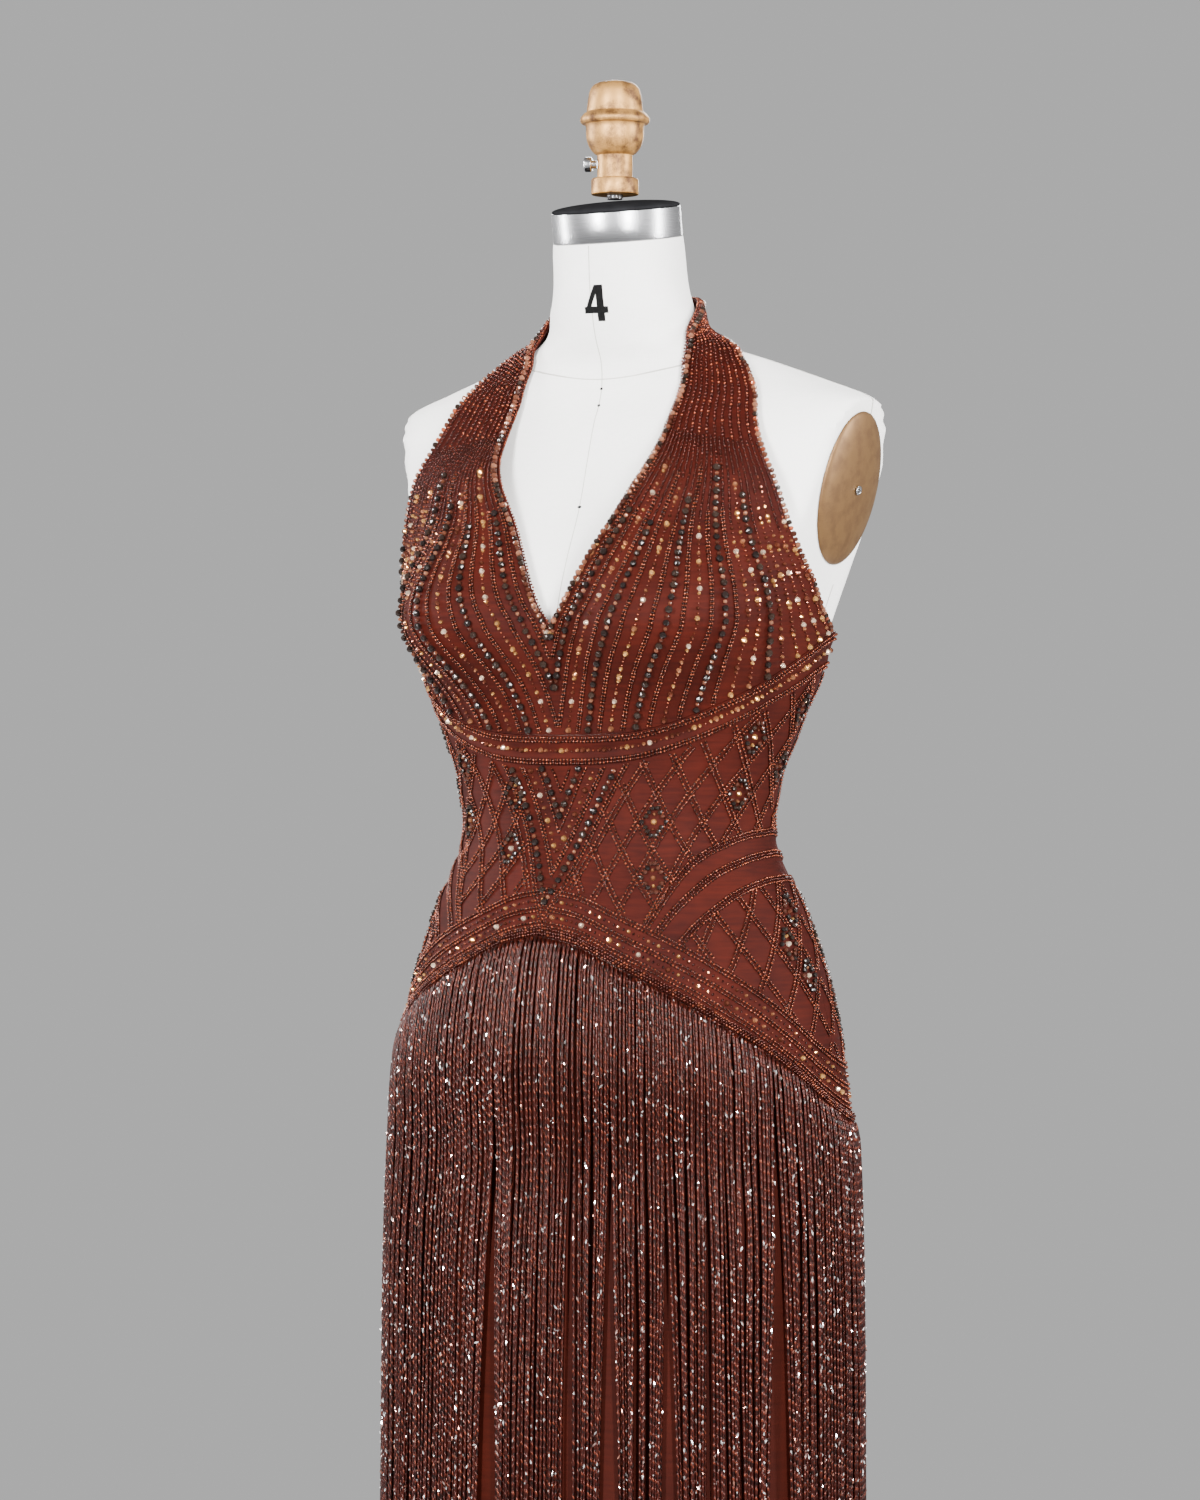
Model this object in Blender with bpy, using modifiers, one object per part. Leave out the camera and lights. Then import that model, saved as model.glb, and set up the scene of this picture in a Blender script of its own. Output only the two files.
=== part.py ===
"""A halter evening gown with a fringed skirt, on a dress form with no limbs and its stand.

Metres, +Z up. The gown faces -Y, and the wearer's left is +X. The origin is on the floor under the
middle of the base. A place on the body is an angle round it, 0 at the centre front and a quarter
turn at the wearer's left side, and a height. Each cloth piece is a wall whose points lie on the
body's skin, moved out by a lift.
"""

import math
from typing import NamedTuple

import bmesh
import bpy
import numpy as np
from mathutils import Matrix, Vector


# Driving dimensions
GAP = 0.0003               # between pieces that touch
EASE = 0.0026              # air between the form and the cloth
CLOTH = 0.0018             # thickness of the beaded cloth
CLOTH_TOP = EASE + CLOTH   # lift of the cloth's outside
SEAM_ANGLE = 0.0026        # gap at an upright seam, as an angle
SIDE = math.radians(97)    # angle of the side seams
BACK = math.pi             # angle of the centre back
HEM_HEIGHT = 0.009
FRINGE_END_HEIGHT = 0.020

STRIP_HEIGHT = 0.008       # narrow strip that carries the fringe
STRIP_DROP = 0.0009        # from the yoke's foot down to the strip
STRIP_CLEARANCE = 0.0011   # from the skirt's outside to the strip
STRIP_THICKNESS = 0.0014
FRONT_LOCKS = 34
BACK_LOCKS = 15            # on each half of the back

BODICE_COLUMNS = 10        # on each half
FRONT_COLUMNS = 2 * BODICE_COLUMNS
BACK_COLUMNS = 8
STATION_STEPS = 2          # rows between two stations of the bodice
FORM_COLUMNS = 32

FLUTE_COUNT = 8            # soft waves of the hem
FLUTE_DEPTH = 0.006
FLUTE_START = 0.45         # height where they have died away

HIP_TURN = math.radians(-4)  # how far the hips of the gown sit turned on the form
TURN_TOP = 1.12
TURN_FULL = 0.98
TURN_LEAVES = 0.60


class Section(NamedTuple):
    """One level cut through the body: half sizes, middle, and 2 for an ellipse or more if squarer."""
    height: float
    half_width: float
    half_depth: float
    middle: float
    squareness: float


class EdgePoint(NamedTuple):
    """A point of a cut edge: degrees from the centre front, and a height."""
    degrees: float
    height: float


class Station(NamedTuple):
    """One line across half the bodice, from its neck edge to its armhole edge."""
    neck_degrees: float
    neck_height: float
    arm_degrees: float
    arm_height: float


class Mound(NamedTuple):
    """A smooth swelling of the skin on each side of the centre front."""
    angle: float
    height: float
    rise: float
    outer_spread: float
    spread_above: float
    spread_below: float


HIP_SECTION = Section(0.840, 0.1705, 0.1190, 0.0100, 2.1)

FORM_SECTIONS = (
    Section(0.740, 0.1615, 0.1100, 0.0090, 2.0),
    Section(0.800, 0.1695, 0.1170, 0.0090, 2.1),
    HIP_SECTION,
    Section(0.880, 0.1665, 0.1210, 0.0090, 2.1),
    Section(0.920, 0.1595, 0.1190, 0.0090, 2.1),
    Section(0.960, 0.1490, 0.1130, 0.0090, 2.1),
    Section(1.000, 0.1350, 0.1020, 0.0080, 2.1),
    Section(1.050, 0.1150, 0.0860, 0.0060, 2.1),
    Section(1.090, 0.1175, 0.0860, 0.0070, 2.1),
    Section(1.130, 0.1310, 0.0930, 0.0095, 2.1),
    Section(1.170, 0.1460, 0.0990, 0.0140, 2.2),
    Section(1.210, 0.1555, 0.1030, 0.0200, 2.3),
    Section(1.250, 0.1680, 0.0980, 0.0275, 2.4),
    Section(1.290, 0.1815, 0.0900, 0.0360, 2.5),
    Section(1.330, 0.1940, 0.0810, 0.0390, 2.5),
    Section(1.355, 0.1965, 0.0720, 0.0390, 2.4),
    Section(1.372, 0.1860, 0.0650, 0.0410, 2.2),
    Section(1.385, 0.1540, 0.0600, 0.0390, 1.9),
    Section(1.400, 0.1130, 0.0550, 0.0325, 1.6),
    Section(1.415, 0.0710, 0.0510, 0.0205, 1.7),
    Section(1.440, 0.0540, 0.0515, 0.0135, 2.0),
    Section(1.491, 0.0478, 0.0478, 0.0050, 2.0),
)

SKIRT_SECTIONS = (
    Section(0.000, 0.2990, 0.2790, 0.0000, 2.0),
    Section(0.050, 0.2720, 0.2530, 0.0010, 2.0),
    Section(0.120, 0.2420, 0.2190, 0.0030, 2.0),
    Section(0.220, 0.2100, 0.1820, 0.0050, 2.0),
    Section(0.320, 0.1890, 0.1560, 0.0070, 2.0),
    Section(0.420, 0.1790, 0.1390, 0.0080, 2.0),
    Section(0.540, 0.1765, 0.1300, 0.0090, 2.0),
    Section(0.660, 0.1760, 0.1270, 0.0095, 2.0),
    Section(0.760, 0.1735, 0.1230, 0.0100, 2.1),
)

GOWN_SECTIONS = SKIRT_SECTIONS + FORM_SECTIONS[2:]
FORM_EXTRA_HEIGHTS = (1.150, 1.190, 1.230, 1.378, 1.408, 1.422, 1.430)   # where the form bends most

BUST = Mound(angle=0.62, height=1.215, rise=0.046, outer_spread=0.46, spread_above=0.075,
             spread_below=0.050)
FORM_INNER_SPREAD = 0.40
GOWN_INNER_SPREAD = 0.49     # the cloth is drawn over the hollow between the cups
CENTRE_ROUNDING = 0.12

STRAP_BRIDGE = Mound(angle=0.50, height=1.313, rise=0.018, outer_spread=0.75, spread_above=0.036,
                     spread_below=0.036)

# Cut edges of the gown, the same on both halves
BODICE_STATIONS = (
    Station(0.0, 1.1275, 97.0, 1.2025),
    Station(0.0, 1.153, 92.5, 1.2095),
    Station(0.0, 1.178, 88.0, 1.216),
    Station(0.0, 1.203, 84.0, 1.222),
    Station(6.0, 1.222, 78.5, 1.235),
    Station(15.0, 1.262, 71.0, 1.257),
    Station(24.5, 1.301, 65.0, 1.288),
    Station(36.5, 1.341, 61.5, 1.330),
    Station(48.0, 1.380, 65.5, 1.370),
    Station(56.0, 1.400, 72.5, 1.392),
    Station(70.0, 1.417, 82.0, 1.406),
    Station(90.0, 1.436, 97.0, 1.416),
    Station(120.0, 1.447, 122.0, 1.424),
    Station(150.0, 1.450, 150.0, 1.428),
    Station(180.0, 1.451, 180.0, 1.429),
)
CENTRE_FRONT_STATIONS = 3    # steps of the bodice below the point of the neckline
STRAP_END_GAP = 0.22         # degrees

BAND_TOP = (
    EdgePoint(0, 1.1270), EdgePoint(20, 1.1280), EdgePoint(37, 1.1320), EdgePoint(48, 1.1395),
    EdgePoint(58, 1.1500), EdgePoint(68, 1.1630), EdgePoint(80, 1.1820), EdgePoint(97, 1.2020),
    EdgePoint(112, 1.2040), EdgePoint(130, 1.1950), EdgePoint(155, 1.1800), EdgePoint(180, 1.1740),
)
BAND_FOOT = (
    EdgePoint(0, 1.1055), EdgePoint(20, 1.1065), EdgePoint(37, 1.1110), EdgePoint(48, 1.1180),
    EdgePoint(58, 1.1270), EdgePoint(68, 1.1390), EdgePoint(80, 1.1560), EdgePoint(97, 1.1740),
    EdgePoint(112, 1.1760), EdgePoint(130, 1.1670), EdgePoint(155, 1.1520), EdgePoint(180, 1.1460),
)
YOKE_FOOT = (
    EdgePoint(0, 0.9820), EdgePoint(16, 0.9750), EdgePoint(30, 0.9610), EdgePoint(43, 0.9460),
    EdgePoint(53, 0.9320), EdgePoint(61, 0.9190), EdgePoint(70, 0.9030), EdgePoint(79, 0.8840),
    EdgePoint(88, 0.8640), EdgePoint(97, 0.8510), EdgePoint(110, 0.8450), EdgePoint(125, 0.8540),
    EdgePoint(140, 0.8740), EdgePoint(155, 0.8980), EdgePoint(168, 0.9130), EdgePoint(180, 0.9180),
)

# Raised lines of beads: how far across the piece, and how much the outside is raised
BAND_RELIEF = ((0.0, 0.0006), (0.18, 0.0011), (0.5, 0.0), (0.82, 0.0011), (1.0, 0.0006))
YOKE_EDGE_RELIEF = ((0.0, 0.0014), (0.0035, 0.0022), (0.0075, 0.0008), (0.034, 0.0006))
YOKE_UPPER_STEPS = 6
SKIRT_LEVELS = (0.0, 0.05, 0.11, 0.18, 0.27, 0.42, 0.58, 0.72, 0.84, 0.93, 1.0)
LOCK_LEVELS = (0.05, 0.11, 0.18, 0.27, 0.58, 0.84, 1.0)

# Neck furniture of the form
NECK_TILT = math.radians(9)   # the neck's top leans forward
NECK_TILT_START = 1.44
NECK_TOP = 1.491
NECK_MIDDLE = 0.005
RING_RADIUS = 0.0476
RING_HEIGHT = 0.022
CAP_RADIUS = 0.0472
CAP_EDGE = 0.0012
CAP_DOME = 0.0028
ROD_RADIUS = 0.0060
FINIAL_FOOT = 1.5240
FINIAL_PROFILE = (            # radius and height, from the crown down
    (0.0000, 1.6077), (0.0080, 1.6070), (0.0140, 1.6045), (0.0180, 1.6000), (0.0203, 1.5940),
    (0.0209, 1.5860), (0.0240, 1.5850), (0.0254, 1.5830), (0.0254, 1.5775), (0.0238, 1.5757),
    (0.0211, 1.5745), (0.0206, 1.5690), (0.0184, 1.5620), (0.0146, 1.5555), (0.0123, 1.5526),
    (0.0130, 1.5505), (0.0130, 1.5385), (0.0158, 1.5360), (0.0173, 1.5335), (0.0173, 1.5265),
    (0.0162, FINIAL_FOOT), (0.0000, FINIAL_FOOT),
)
COLLAR_RADIUS = 0.0130
SET_SCREW_HEIGHT = 1.5465
SET_SCREW_TURN = math.radians(200)
SET_SCREW_PROFILE = (         # radius and distance along the screw, from its head inwards
    (0.0000, 0.0228), (0.0048, 0.0228), (0.0055, 0.0220), (0.0055, 0.0178), (0.0048, 0.0170),
    (0.0030, 0.0170), (0.0030, COLLAR_RADIUS + GAP), (0.0000, COLLAR_RADIUS + GAP),
)

# Plates where the arms would start
PLATE_CENTRE = Vector((0.1715, 0.0360, 1.3060))
PLATE_OUTWARD = Vector((0.968, -0.090, -0.235)).normalized()
PLATE_HALF_HEIGHT = 0.0570
PLATE_HALF_WIDTH = 0.0400
PLATE_DOME = 0.0075
PLATE_SCREW_RADIUS = 0.0034
PLATE_SCREW_HEIGHT = 0.0016

# Foot of the form, pole and base
BOARD_HEIGHT = 0.012
BOARD_INSET = 0.004
POLE_RADIUS = 0.016
BASE_HEIGHT = 0.046
BASE_PROFILE = (              # radius and height, from the boss down
    (0.0000, BASE_HEIGHT), (0.0270, BASE_HEIGHT), (0.0290, 0.0440), (0.0300, 0.0300),
    (0.0420, 0.0230), (0.0900, 0.0170), (0.1500, 0.0130), (0.1680, 0.0105), (0.1720, 0.0070),
    (0.1720, 0.0015), (0.1705, 0.0000), (0.0000, 0.0000),
)
TURNED_STEPS = 20
ROUND_STEPS = 28           # on the wider turned pieces

# Colours as the photograph shows them: linear red, green, blue
RUST = (0.150, 0.030, 0.018)
DARK_RUST = (0.095, 0.024, 0.017)
CANVAS = (0.780, 0.760, 0.720)
GOLD = (0.420, 0.260, 0.110)
STEEL = (0.620, 0.620, 0.630)
BLACK = (0.012, 0.012, 0.013)
IRON = (0.030, 0.030, 0.032)
BOARD = (0.300, 0.190, 0.100)


def hermite(at, places, values):
    """Read a smooth curve through values given at rising places."""
    places = np.asarray(places, float)
    values = np.asarray(values, float)
    slopes = np.gradient(values, places)
    index = np.clip(np.searchsorted(places, at) - 1, 0, len(places) - 2)
    step = places[index + 1] - places[index]
    t = np.clip((at - places[index]) / step, 0.0, 1.0)
    start = (2 * t ** 3 - 3 * t ** 2 + 1) * values[index]
    start += (t ** 3 - 2 * t ** 2 + t) * step * slopes[index]
    end = (-2 * t ** 3 + 3 * t ** 2) * values[index + 1]
    end += (t ** 3 - t ** 2) * step * slopes[index + 1]
    return start + end


def smooth_step(value):
    """Ease from 0 to 1."""
    value = np.clip(value, 0.0, 1.0)
    return value * value * (3 - 2 * value)


def mound_rise(mound, angle, height, inner_spread):
    """How far a mound lifts the skin at an angle and height."""
    side = np.sqrt(angle ** 2 + CENTRE_ROUNDING ** 2)
    across = side - mound.angle
    spread = np.where(across > 0, mound.outer_spread, inner_spread)
    up = height - mound.height
    up = up / np.where(up > 0, mound.spread_above, mound.spread_below)
    return mound.rise * np.exp(-(across / spread) ** 2 - up ** 2)


def skin(angle, height, sections, extra):
    """Points on a body given by its sections, with an extra rise outwards."""
    heights = [section.height for section in sections]
    half_width = hermite(height, heights, [section.half_width for section in sections])
    half_depth = hermite(height, heights, [section.half_depth for section in sections])
    middle = hermite(height, heights, [section.middle for section in sections])
    power = hermite(height, heights, [section.squareness for section in sections])
    across = np.abs(np.sin(angle)) / half_width
    along = np.abs(np.cos(angle)) / half_depth
    radius = (across ** power + along ** power) ** (-1 / power) + extra
    return np.stack([radius * np.sin(angle), middle - radius * np.cos(angle), height], -1)


def form_skin(angle, height):
    """Points on the dress form."""
    angle, height = np.broadcast_arrays(np.asarray(angle, float), np.asarray(height, float))
    return skin(angle, height, FORM_SECTIONS, mound_rise(BUST, angle, height, FORM_INNER_SPREAD))


def gown_skin(angle, height):
    """Points where the gown would lie with no ease: straps and cups are drawn over hollows."""
    extra = mound_rise(BUST, angle, height, GOWN_INNER_SPREAD)
    extra = extra + mound_rise(STRAP_BRIDGE, angle, height, 9.0)
    return skin(angle, height, GOWN_SECTIONS, extra)


def turned(angle, height):
    """Angle on the form of a pattern angle: the hips of the gown sit a little turned."""
    upper = smooth_step((TURN_TOP - height) / (TURN_TOP - TURN_FULL))
    lower = smooth_step(height / TURN_LEAVES)
    return angle + HIP_TURN * upper * lower


def flute(angle, height):
    """Soft waves that grow towards the hem."""
    grown = np.clip(1 - height / FLUTE_START, 0.0, 1.0) ** 1.5
    return FLUTE_DEPTH * grown * np.cos(FLUTE_COUNT * angle)


def cloth(angle, height, lift):
    """Points at a lift above the body, at a pattern angle and a height."""
    angle, height = np.broadcast_arrays(np.asarray(angle, float), np.asarray(height, float))
    angle = turned(angle, height)
    step_angle = 0.01
    step_height = 0.002
    place = gown_skin(angle, height)
    round_it = gown_skin(angle + step_angle, height) - gown_skin(angle - step_angle, height)
    up_it = gown_skin(angle, height + step_height) - gown_skin(angle, height - step_height)
    normal = np.cross(round_it, up_it)
    normal /= np.linalg.norm(normal, axis=-1, keepdims=True)
    return place + normal * (lift + flute(angle, height))[..., None]


def edge_height(edge, angle):
    """Height of a cut edge at a pattern angle."""
    degrees = np.degrees(np.abs(angle))
    return hermite(degrees, [point.degrees for point in edge], [point.height for point in edge])


def finish(material, colour, roughness, metallic):
    """A plain Principled material."""
    made = bpy.data.materials.get(material) or bpy.data.materials.new(material)
    made.use_nodes = True
    shader = made.node_tree.nodes["Principled BSDF"]
    shader.inputs["Base Color"].default_value = (*colour, 1.0)
    shader.inputs["Roughness"].default_value = roughness
    shader.inputs["Metallic"].default_value = metallic
    return made


def add_object(name, mesh, material, folder):
    """Put a mesh in the scene under its node's name."""
    made = bpy.data.objects.new(name, mesh)
    mesh.materials.append(material)
    folder.objects.link(made)
    return made


def wall_mesh(name, outside, inside, open_rows=0, lock_roots=()):
    """A closed wall between two grids of points, rows going up and columns going round.

    The first open_rows cells of the first column keep no rim, for a mirror there, and the foot
    cells in lock_roots keep none either, for the locks that grow from them.
    """
    rows, columns = outside.shape[:2]
    points = np.concatenate([outside.reshape(-1, 3), inside.reshape(-1, 3)])

    def out(row, column):
        return row * columns + column

    def into(row, column):
        return rows * columns + row * columns + column

    faces = []
    for row in range(rows - 1):
        for column in range(columns - 1):
            corners = ((row, column), (row, column + 1), (row + 1, column + 1), (row + 1, column))
            faces.append([out(*corner) for corner in corners])
            faces.append([into(*corner) for corner in reversed(corners)])
    for column in range(columns - 1):
        top = rows - 1
        if column not in lock_roots:
            faces.append([out(0, column + 1), out(0, column), into(0, column), into(0, column + 1)])
        faces.append([out(top, column), out(top, column + 1), into(top, column + 1), into(top, column)])
    last = columns - 1
    for row in range(rows - 1):
        if row >= open_rows:
            faces.append([out(row, 0), out(row + 1, 0), into(row + 1, 0), into(row, 0)])
        faces.append([out(row + 1, last), out(row, last), into(row, last), into(row + 1, last)])
    mesh = bpy.data.meshes.new(name)
    mesh.from_pydata(points.tolist(), [], faces)
    return mesh


def smooth_shade(mesh, angle=math.radians(40)):
    """Shade a round piece smooth but for its sharp edges."""
    mesh.shade_smooth()
    mesh.set_sharp_from_angle(angle=angle)


def build_panel(name, start, end, columns, row_heights, reliefs, material, folder):
    """A panel between two pattern angles, with a row of points for each height function."""
    angles = np.linspace(start + SEAM_ANGLE / 2, end - SEAM_ANGLE / 2, columns + 1)
    outside = [cloth(angles, row(angles), CLOTH_TOP + relief) for row, relief in zip(row_heights, reliefs)]
    inside = [cloth(angles, row(angles), EASE) for row in row_heights]
    mesh = wall_mesh(name, np.stack(outside), np.stack(inside))
    smooth_shade(mesh)
    add_object(name, mesh, material, folder)


def build_all_round(name, row_heights, reliefs, material, folder):
    """A front panel and two back panels that meet at the side seams and the centre back."""
    pieces = (
        (name + "_front", -SIDE, SIDE, FRONT_COLUMNS),
        (name + "_back_left", SIDE, BACK, BACK_COLUMNS),
        (name + "_back_right", -BACK, -SIDE, BACK_COLUMNS),
    )
    for piece, start, end, columns in pieces:
        build_panel(piece, start, end, columns, row_heights, reliefs, material, folder)


def build_bodice(material, folder):
    """The front with its two straps, which meet behind the neck. Half of it, then a mirror."""
    steps = np.arange(0, len(BODICE_STATIONS) - 1 + 0.001, 1 / STATION_STEPS)
    count = np.arange(len(BODICE_STATIONS))
    columns = [hermite(steps, count, column) for column in zip(*BODICE_STATIONS)]
    neck_angle = np.radians(np.clip(columns[0], 0.0, 180 - STRAP_END_GAP))
    arm_angle = np.radians(np.clip(columns[2], 0.0, 180 - STRAP_END_GAP))
    open_rows = CENTRE_FRONT_STATIONS * STATION_STEPS
    neck_angle[:open_rows + 1] = 0.0
    arm_angle[0] = SIDE - SEAM_ANGLE / 2
    across = np.linspace(0.0, 1.0, BODICE_COLUMNS + 1)
    angle = neck_angle[:, None] + (arm_angle - neck_angle)[:, None] * across
    height = columns[1][:, None] + (columns[3] - columns[1])[:, None] * across
    sag = edge_height(BAND_TOP, angle[0]) + GAP - height[0]
    fade = np.clip(1 - steps / (CENTRE_FRONT_STATIONS + 1), 0.0, 1.0)
    height += fade[:, None] * np.interp(angle, angle[0], sag)
    outside = cloth(angle, height, CLOTH_TOP)
    inside = cloth(angle, height, EASE)
    outside[:open_rows + 1, 0, 0] = 0.0
    inside[:open_rows + 1, 0, 0] = 0.0
    mesh = wall_mesh("bodice_front", outside, inside, open_rows)
    smooth_shade(mesh)
    made = add_object("bodice_front", mesh, material, folder)
    mirror = made.modifiers.new("other_half", "MIRROR")
    mirror.merge_threshold = 0.00005


def band_row(share):
    """Height across the band, from its foot at 0 to its top at 1."""
    def height(angle):
        foot = edge_height(BAND_FOOT, angle) + GAP / 2
        top = edge_height(BAND_TOP, angle) - GAP / 2
        return foot + (top - foot) * share
    return height


def yoke_row(above_foot, share):
    """Height on the yoke: a distance above its foot, then a share of the rest."""
    def height(angle):
        foot = edge_height(YOKE_FOOT, angle) + above_foot
        top = edge_height(BAND_FOOT, angle) - GAP / 2
        return foot + (top - foot) * share
    return height


def skirt_row(level):
    """Height on the skirt, from the yoke's foot at 0 to the hem at 1."""
    def height(angle):
        top = edge_height(YOKE_FOOT, angle) - GAP
        return top + (HEM_HEIGHT - top) * level
    return height


def build_fringe(name, start, end, locks, material, folder):
    """A narrow strip under the yoke's foot, with a lock hanging from every second cell of it."""
    angles = np.linspace(start + SEAM_ANGLE / 2, end - SEAM_ANGLE / 2, 2 * locks)
    strip_in = CLOTH_TOP + STRIP_CLEARANCE
    strip_out = strip_in + STRIP_THICKNESS
    top = edge_height(YOKE_FOOT, angles) - STRIP_DROP
    heights = np.stack([top - STRIP_HEIGHT, top])
    outside = cloth(angles, heights, strip_out)
    inside = cloth(angles, heights, strip_in)
    roots = range(0, 2 * locks - 1, 2)
    mesh = wall_mesh(name, outside, inside, lock_roots=roots)
    work = bmesh.new()
    work.from_mesh(mesh)
    strip = list(work.verts)
    columns = 2 * locks
    hip_reach = np.linalg.norm(outside[0, :, :2], axis=-1)
    for root in roots:
        behind_root = 2 * columns + root
        ring = [strip[index] for index in (root, root + 1, behind_root + 1, behind_root)]
        middle = (angles[root] + angles[root + 1]) / 2
        half = (angles[root + 1] - angles[root]) / 2
        lock_top = float(edge_height(YOKE_FOOT, middle)) - GAP
        for level in LOCK_LEVELS:
            height = lock_top + (FRINGE_END_HEIGHT - lock_top) * level
            reach = np.linalg.norm(cloth(middle, height, strip_out)[:2])
            narrowed = half * hip_reach[root] / reach
            sides = np.array([middle - narrowed, middle + narrowed])
            front = cloth(sides, height, strip_out)
            behind = cloth(sides, height, strip_in)
            places = (front[0], front[1], behind[1], behind[0])
            lower = [work.verts.new(place) for place in places]
            for corner in range(4):
                after = (corner + 1) % 4
                work.faces.new((ring[corner], lower[corner], lower[after], ring[after]))
            ring = lower
        work.faces.new(ring[::-1])
    work.to_mesh(mesh)
    work.free()
    add_object(name, mesh, material, folder)


def turned_piece(name, profile, material, folder, steps=TURNED_STEPS):
    """A solid of revolution about Z from a profile of radius and height, run from top to bottom."""
    mesh = bpy.data.meshes.new(name)
    points = [(radius, 0.0, height) for radius, height in profile]
    mesh.from_pydata(points, [(index, index + 1) for index in range(len(points) - 1)], [])
    made = add_object(name, mesh, material, folder)
    screw = made.modifiers.new("turn", "SCREW")
    screw.steps = steps
    screw.render_steps = steps
    screw.use_merge_vertices = True
    screw.merge_threshold = 0.00005
    return made


def plate_frame(side):
    """Place and directions of an arm plate: its own X is along its width and Z points out."""
    outward = Vector((side * PLATE_OUTWARD.x, PLATE_OUTWARD.y, PLATE_OUTWARD.z))
    up = (Vector((0, 0, 1)) - outward * outward.z).normalized()
    across = up.cross(outward)
    turn = Matrix((across, up, outward)).transposed().to_4x4()
    centre = Vector((side * PLATE_CENTRE.x, PLATE_CENTRE.y, PLATE_CENTRE.z))
    return Matrix.Translation(centre) @ turn


def build_torso(material, folder):
    """The padded form: sections up to the neck, cut flat where the arm plates sit."""
    angles = np.linspace(-math.pi, math.pi, FORM_COLUMNS, endpoint=False)
    heights = sorted([section.height for section in FORM_SECTIONS] + list(FORM_EXTRA_HEIGHTS))
    points = form_skin(angles[None, :], np.array(heights)[:, None]).copy()
    lean = np.clip((points[..., 2] - NECK_TILT_START) / (NECK_TOP - NECK_TILT_START), 0.0, 1.0)
    points[..., 2] += lean * (points[..., 1] - NECK_MIDDLE) * math.tan(NECK_TILT)
    for side in (-1, 1):
        frame = plate_frame(side)
        outward = np.array(frame.col[2][:3])
        beyond = np.maximum((points - np.array(frame.translation)) @ outward, 0.0)
        points -= beyond[..., None] * outward
    rows = len(heights)
    faces = []
    for row in range(rows - 1):
        for column in range(FORM_COLUMNS):
            after = (column + 1) % FORM_COLUMNS
            low = row * FORM_COLUMNS
            high = low + FORM_COLUMNS
            faces.append((low + column, low + after, high + after, high + column))
    faces.append(tuple(reversed(range(FORM_COLUMNS))))
    faces.append(tuple(range((rows - 1) * FORM_COLUMNS, rows * FORM_COLUMNS)))
    mesh = bpy.data.meshes.new("form_torso")
    mesh.from_pydata(points.reshape(-1, 3).tolist(), [], faces)
    smooth_shade(mesh)
    add_object("form_torso", mesh, material, folder)


def build_arm_plates(plate_finish, screw_finish, folder):
    """A domed oval plate with a screw on each cut side of the form."""
    for side, word in ((1, "left"), (-1, "right")):
        frame = plate_frame(side)
        work = bmesh.new()
        bmesh.ops.create_uvsphere(work, u_segments=24, v_segments=8, radius=1.0)
        everything = work.verts[:] + work.edges[:] + work.faces[:]
        cut = bmesh.ops.bisect_plane(work, geom=everything, plane_co=(0, 0, 0), plane_no=(0, 0, -1),
                                     clear_outer=True)
        rim = [item for item in cut["geom_cut"] if isinstance(item, bmesh.types.BMEdge)]
        bmesh.ops.contextual_create(work, geom=rim)
        bmesh.ops.recalc_face_normals(work, faces=work.faces[:])
        bmesh.ops.scale(work, vec=(PLATE_HALF_WIDTH, PLATE_HALF_HEIGHT, PLATE_DOME), verts=work.verts)
        bmesh.ops.translate(work, vec=(0, 0, GAP), verts=work.verts)
        mesh = bpy.data.meshes.new("arm_plate_" + word)
        work.to_mesh(mesh)
        work.free()
        smooth_shade(mesh)
        plate = add_object("arm_plate_" + word, mesh, plate_finish, folder)
        plate.matrix_world = frame
        foot = PLATE_DOME + 2 * GAP
        profile = (
            (0.0, foot + PLATE_SCREW_HEIGHT), (0.6 * PLATE_SCREW_RADIUS, foot + PLATE_SCREW_HEIGHT),
            (PLATE_SCREW_RADIUS, foot + 0.4 * PLATE_SCREW_HEIGHT), (PLATE_SCREW_RADIUS, foot), (0.0, foot),
        )
        screw = turned_piece("arm_screw_" + word, profile, screw_finish, folder, 12)
        screw.matrix_world = frame


def build_neck(ring_finish, cap_finish, folder):
    """Steel ring and black domed cap on the neck, leaning forward with it."""
    lean = Matrix.Translation((0, NECK_MIDDLE, NECK_TOP)) @ Matrix.Rotation(NECK_TILT, 4, "X")
    ring_top = GAP + RING_HEIGHT
    ring_profile = ((0.0, ring_top), (RING_RADIUS, ring_top), (RING_RADIUS, GAP), (0.0, GAP))
    ring = turned_piece("neck_ring", ring_profile, ring_finish, folder, ROUND_STEPS)
    ring.matrix_world = lean
    cap_foot = ring_top + GAP
    profile = [(CAP_RADIUS * math.sin(turn), cap_foot + CAP_EDGE + CAP_DOME * math.cos(turn))
               for turn in np.linspace(0.0, math.pi / 2, 5)]
    profile += [(CAP_RADIUS, cap_foot), (0.0, cap_foot)]
    cap = turned_piece("neck_cap", profile, cap_finish, folder, ROUND_STEPS)
    cap.matrix_world = lean
    return lean @ Vector((0, 0, profile[0][1]))


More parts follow.
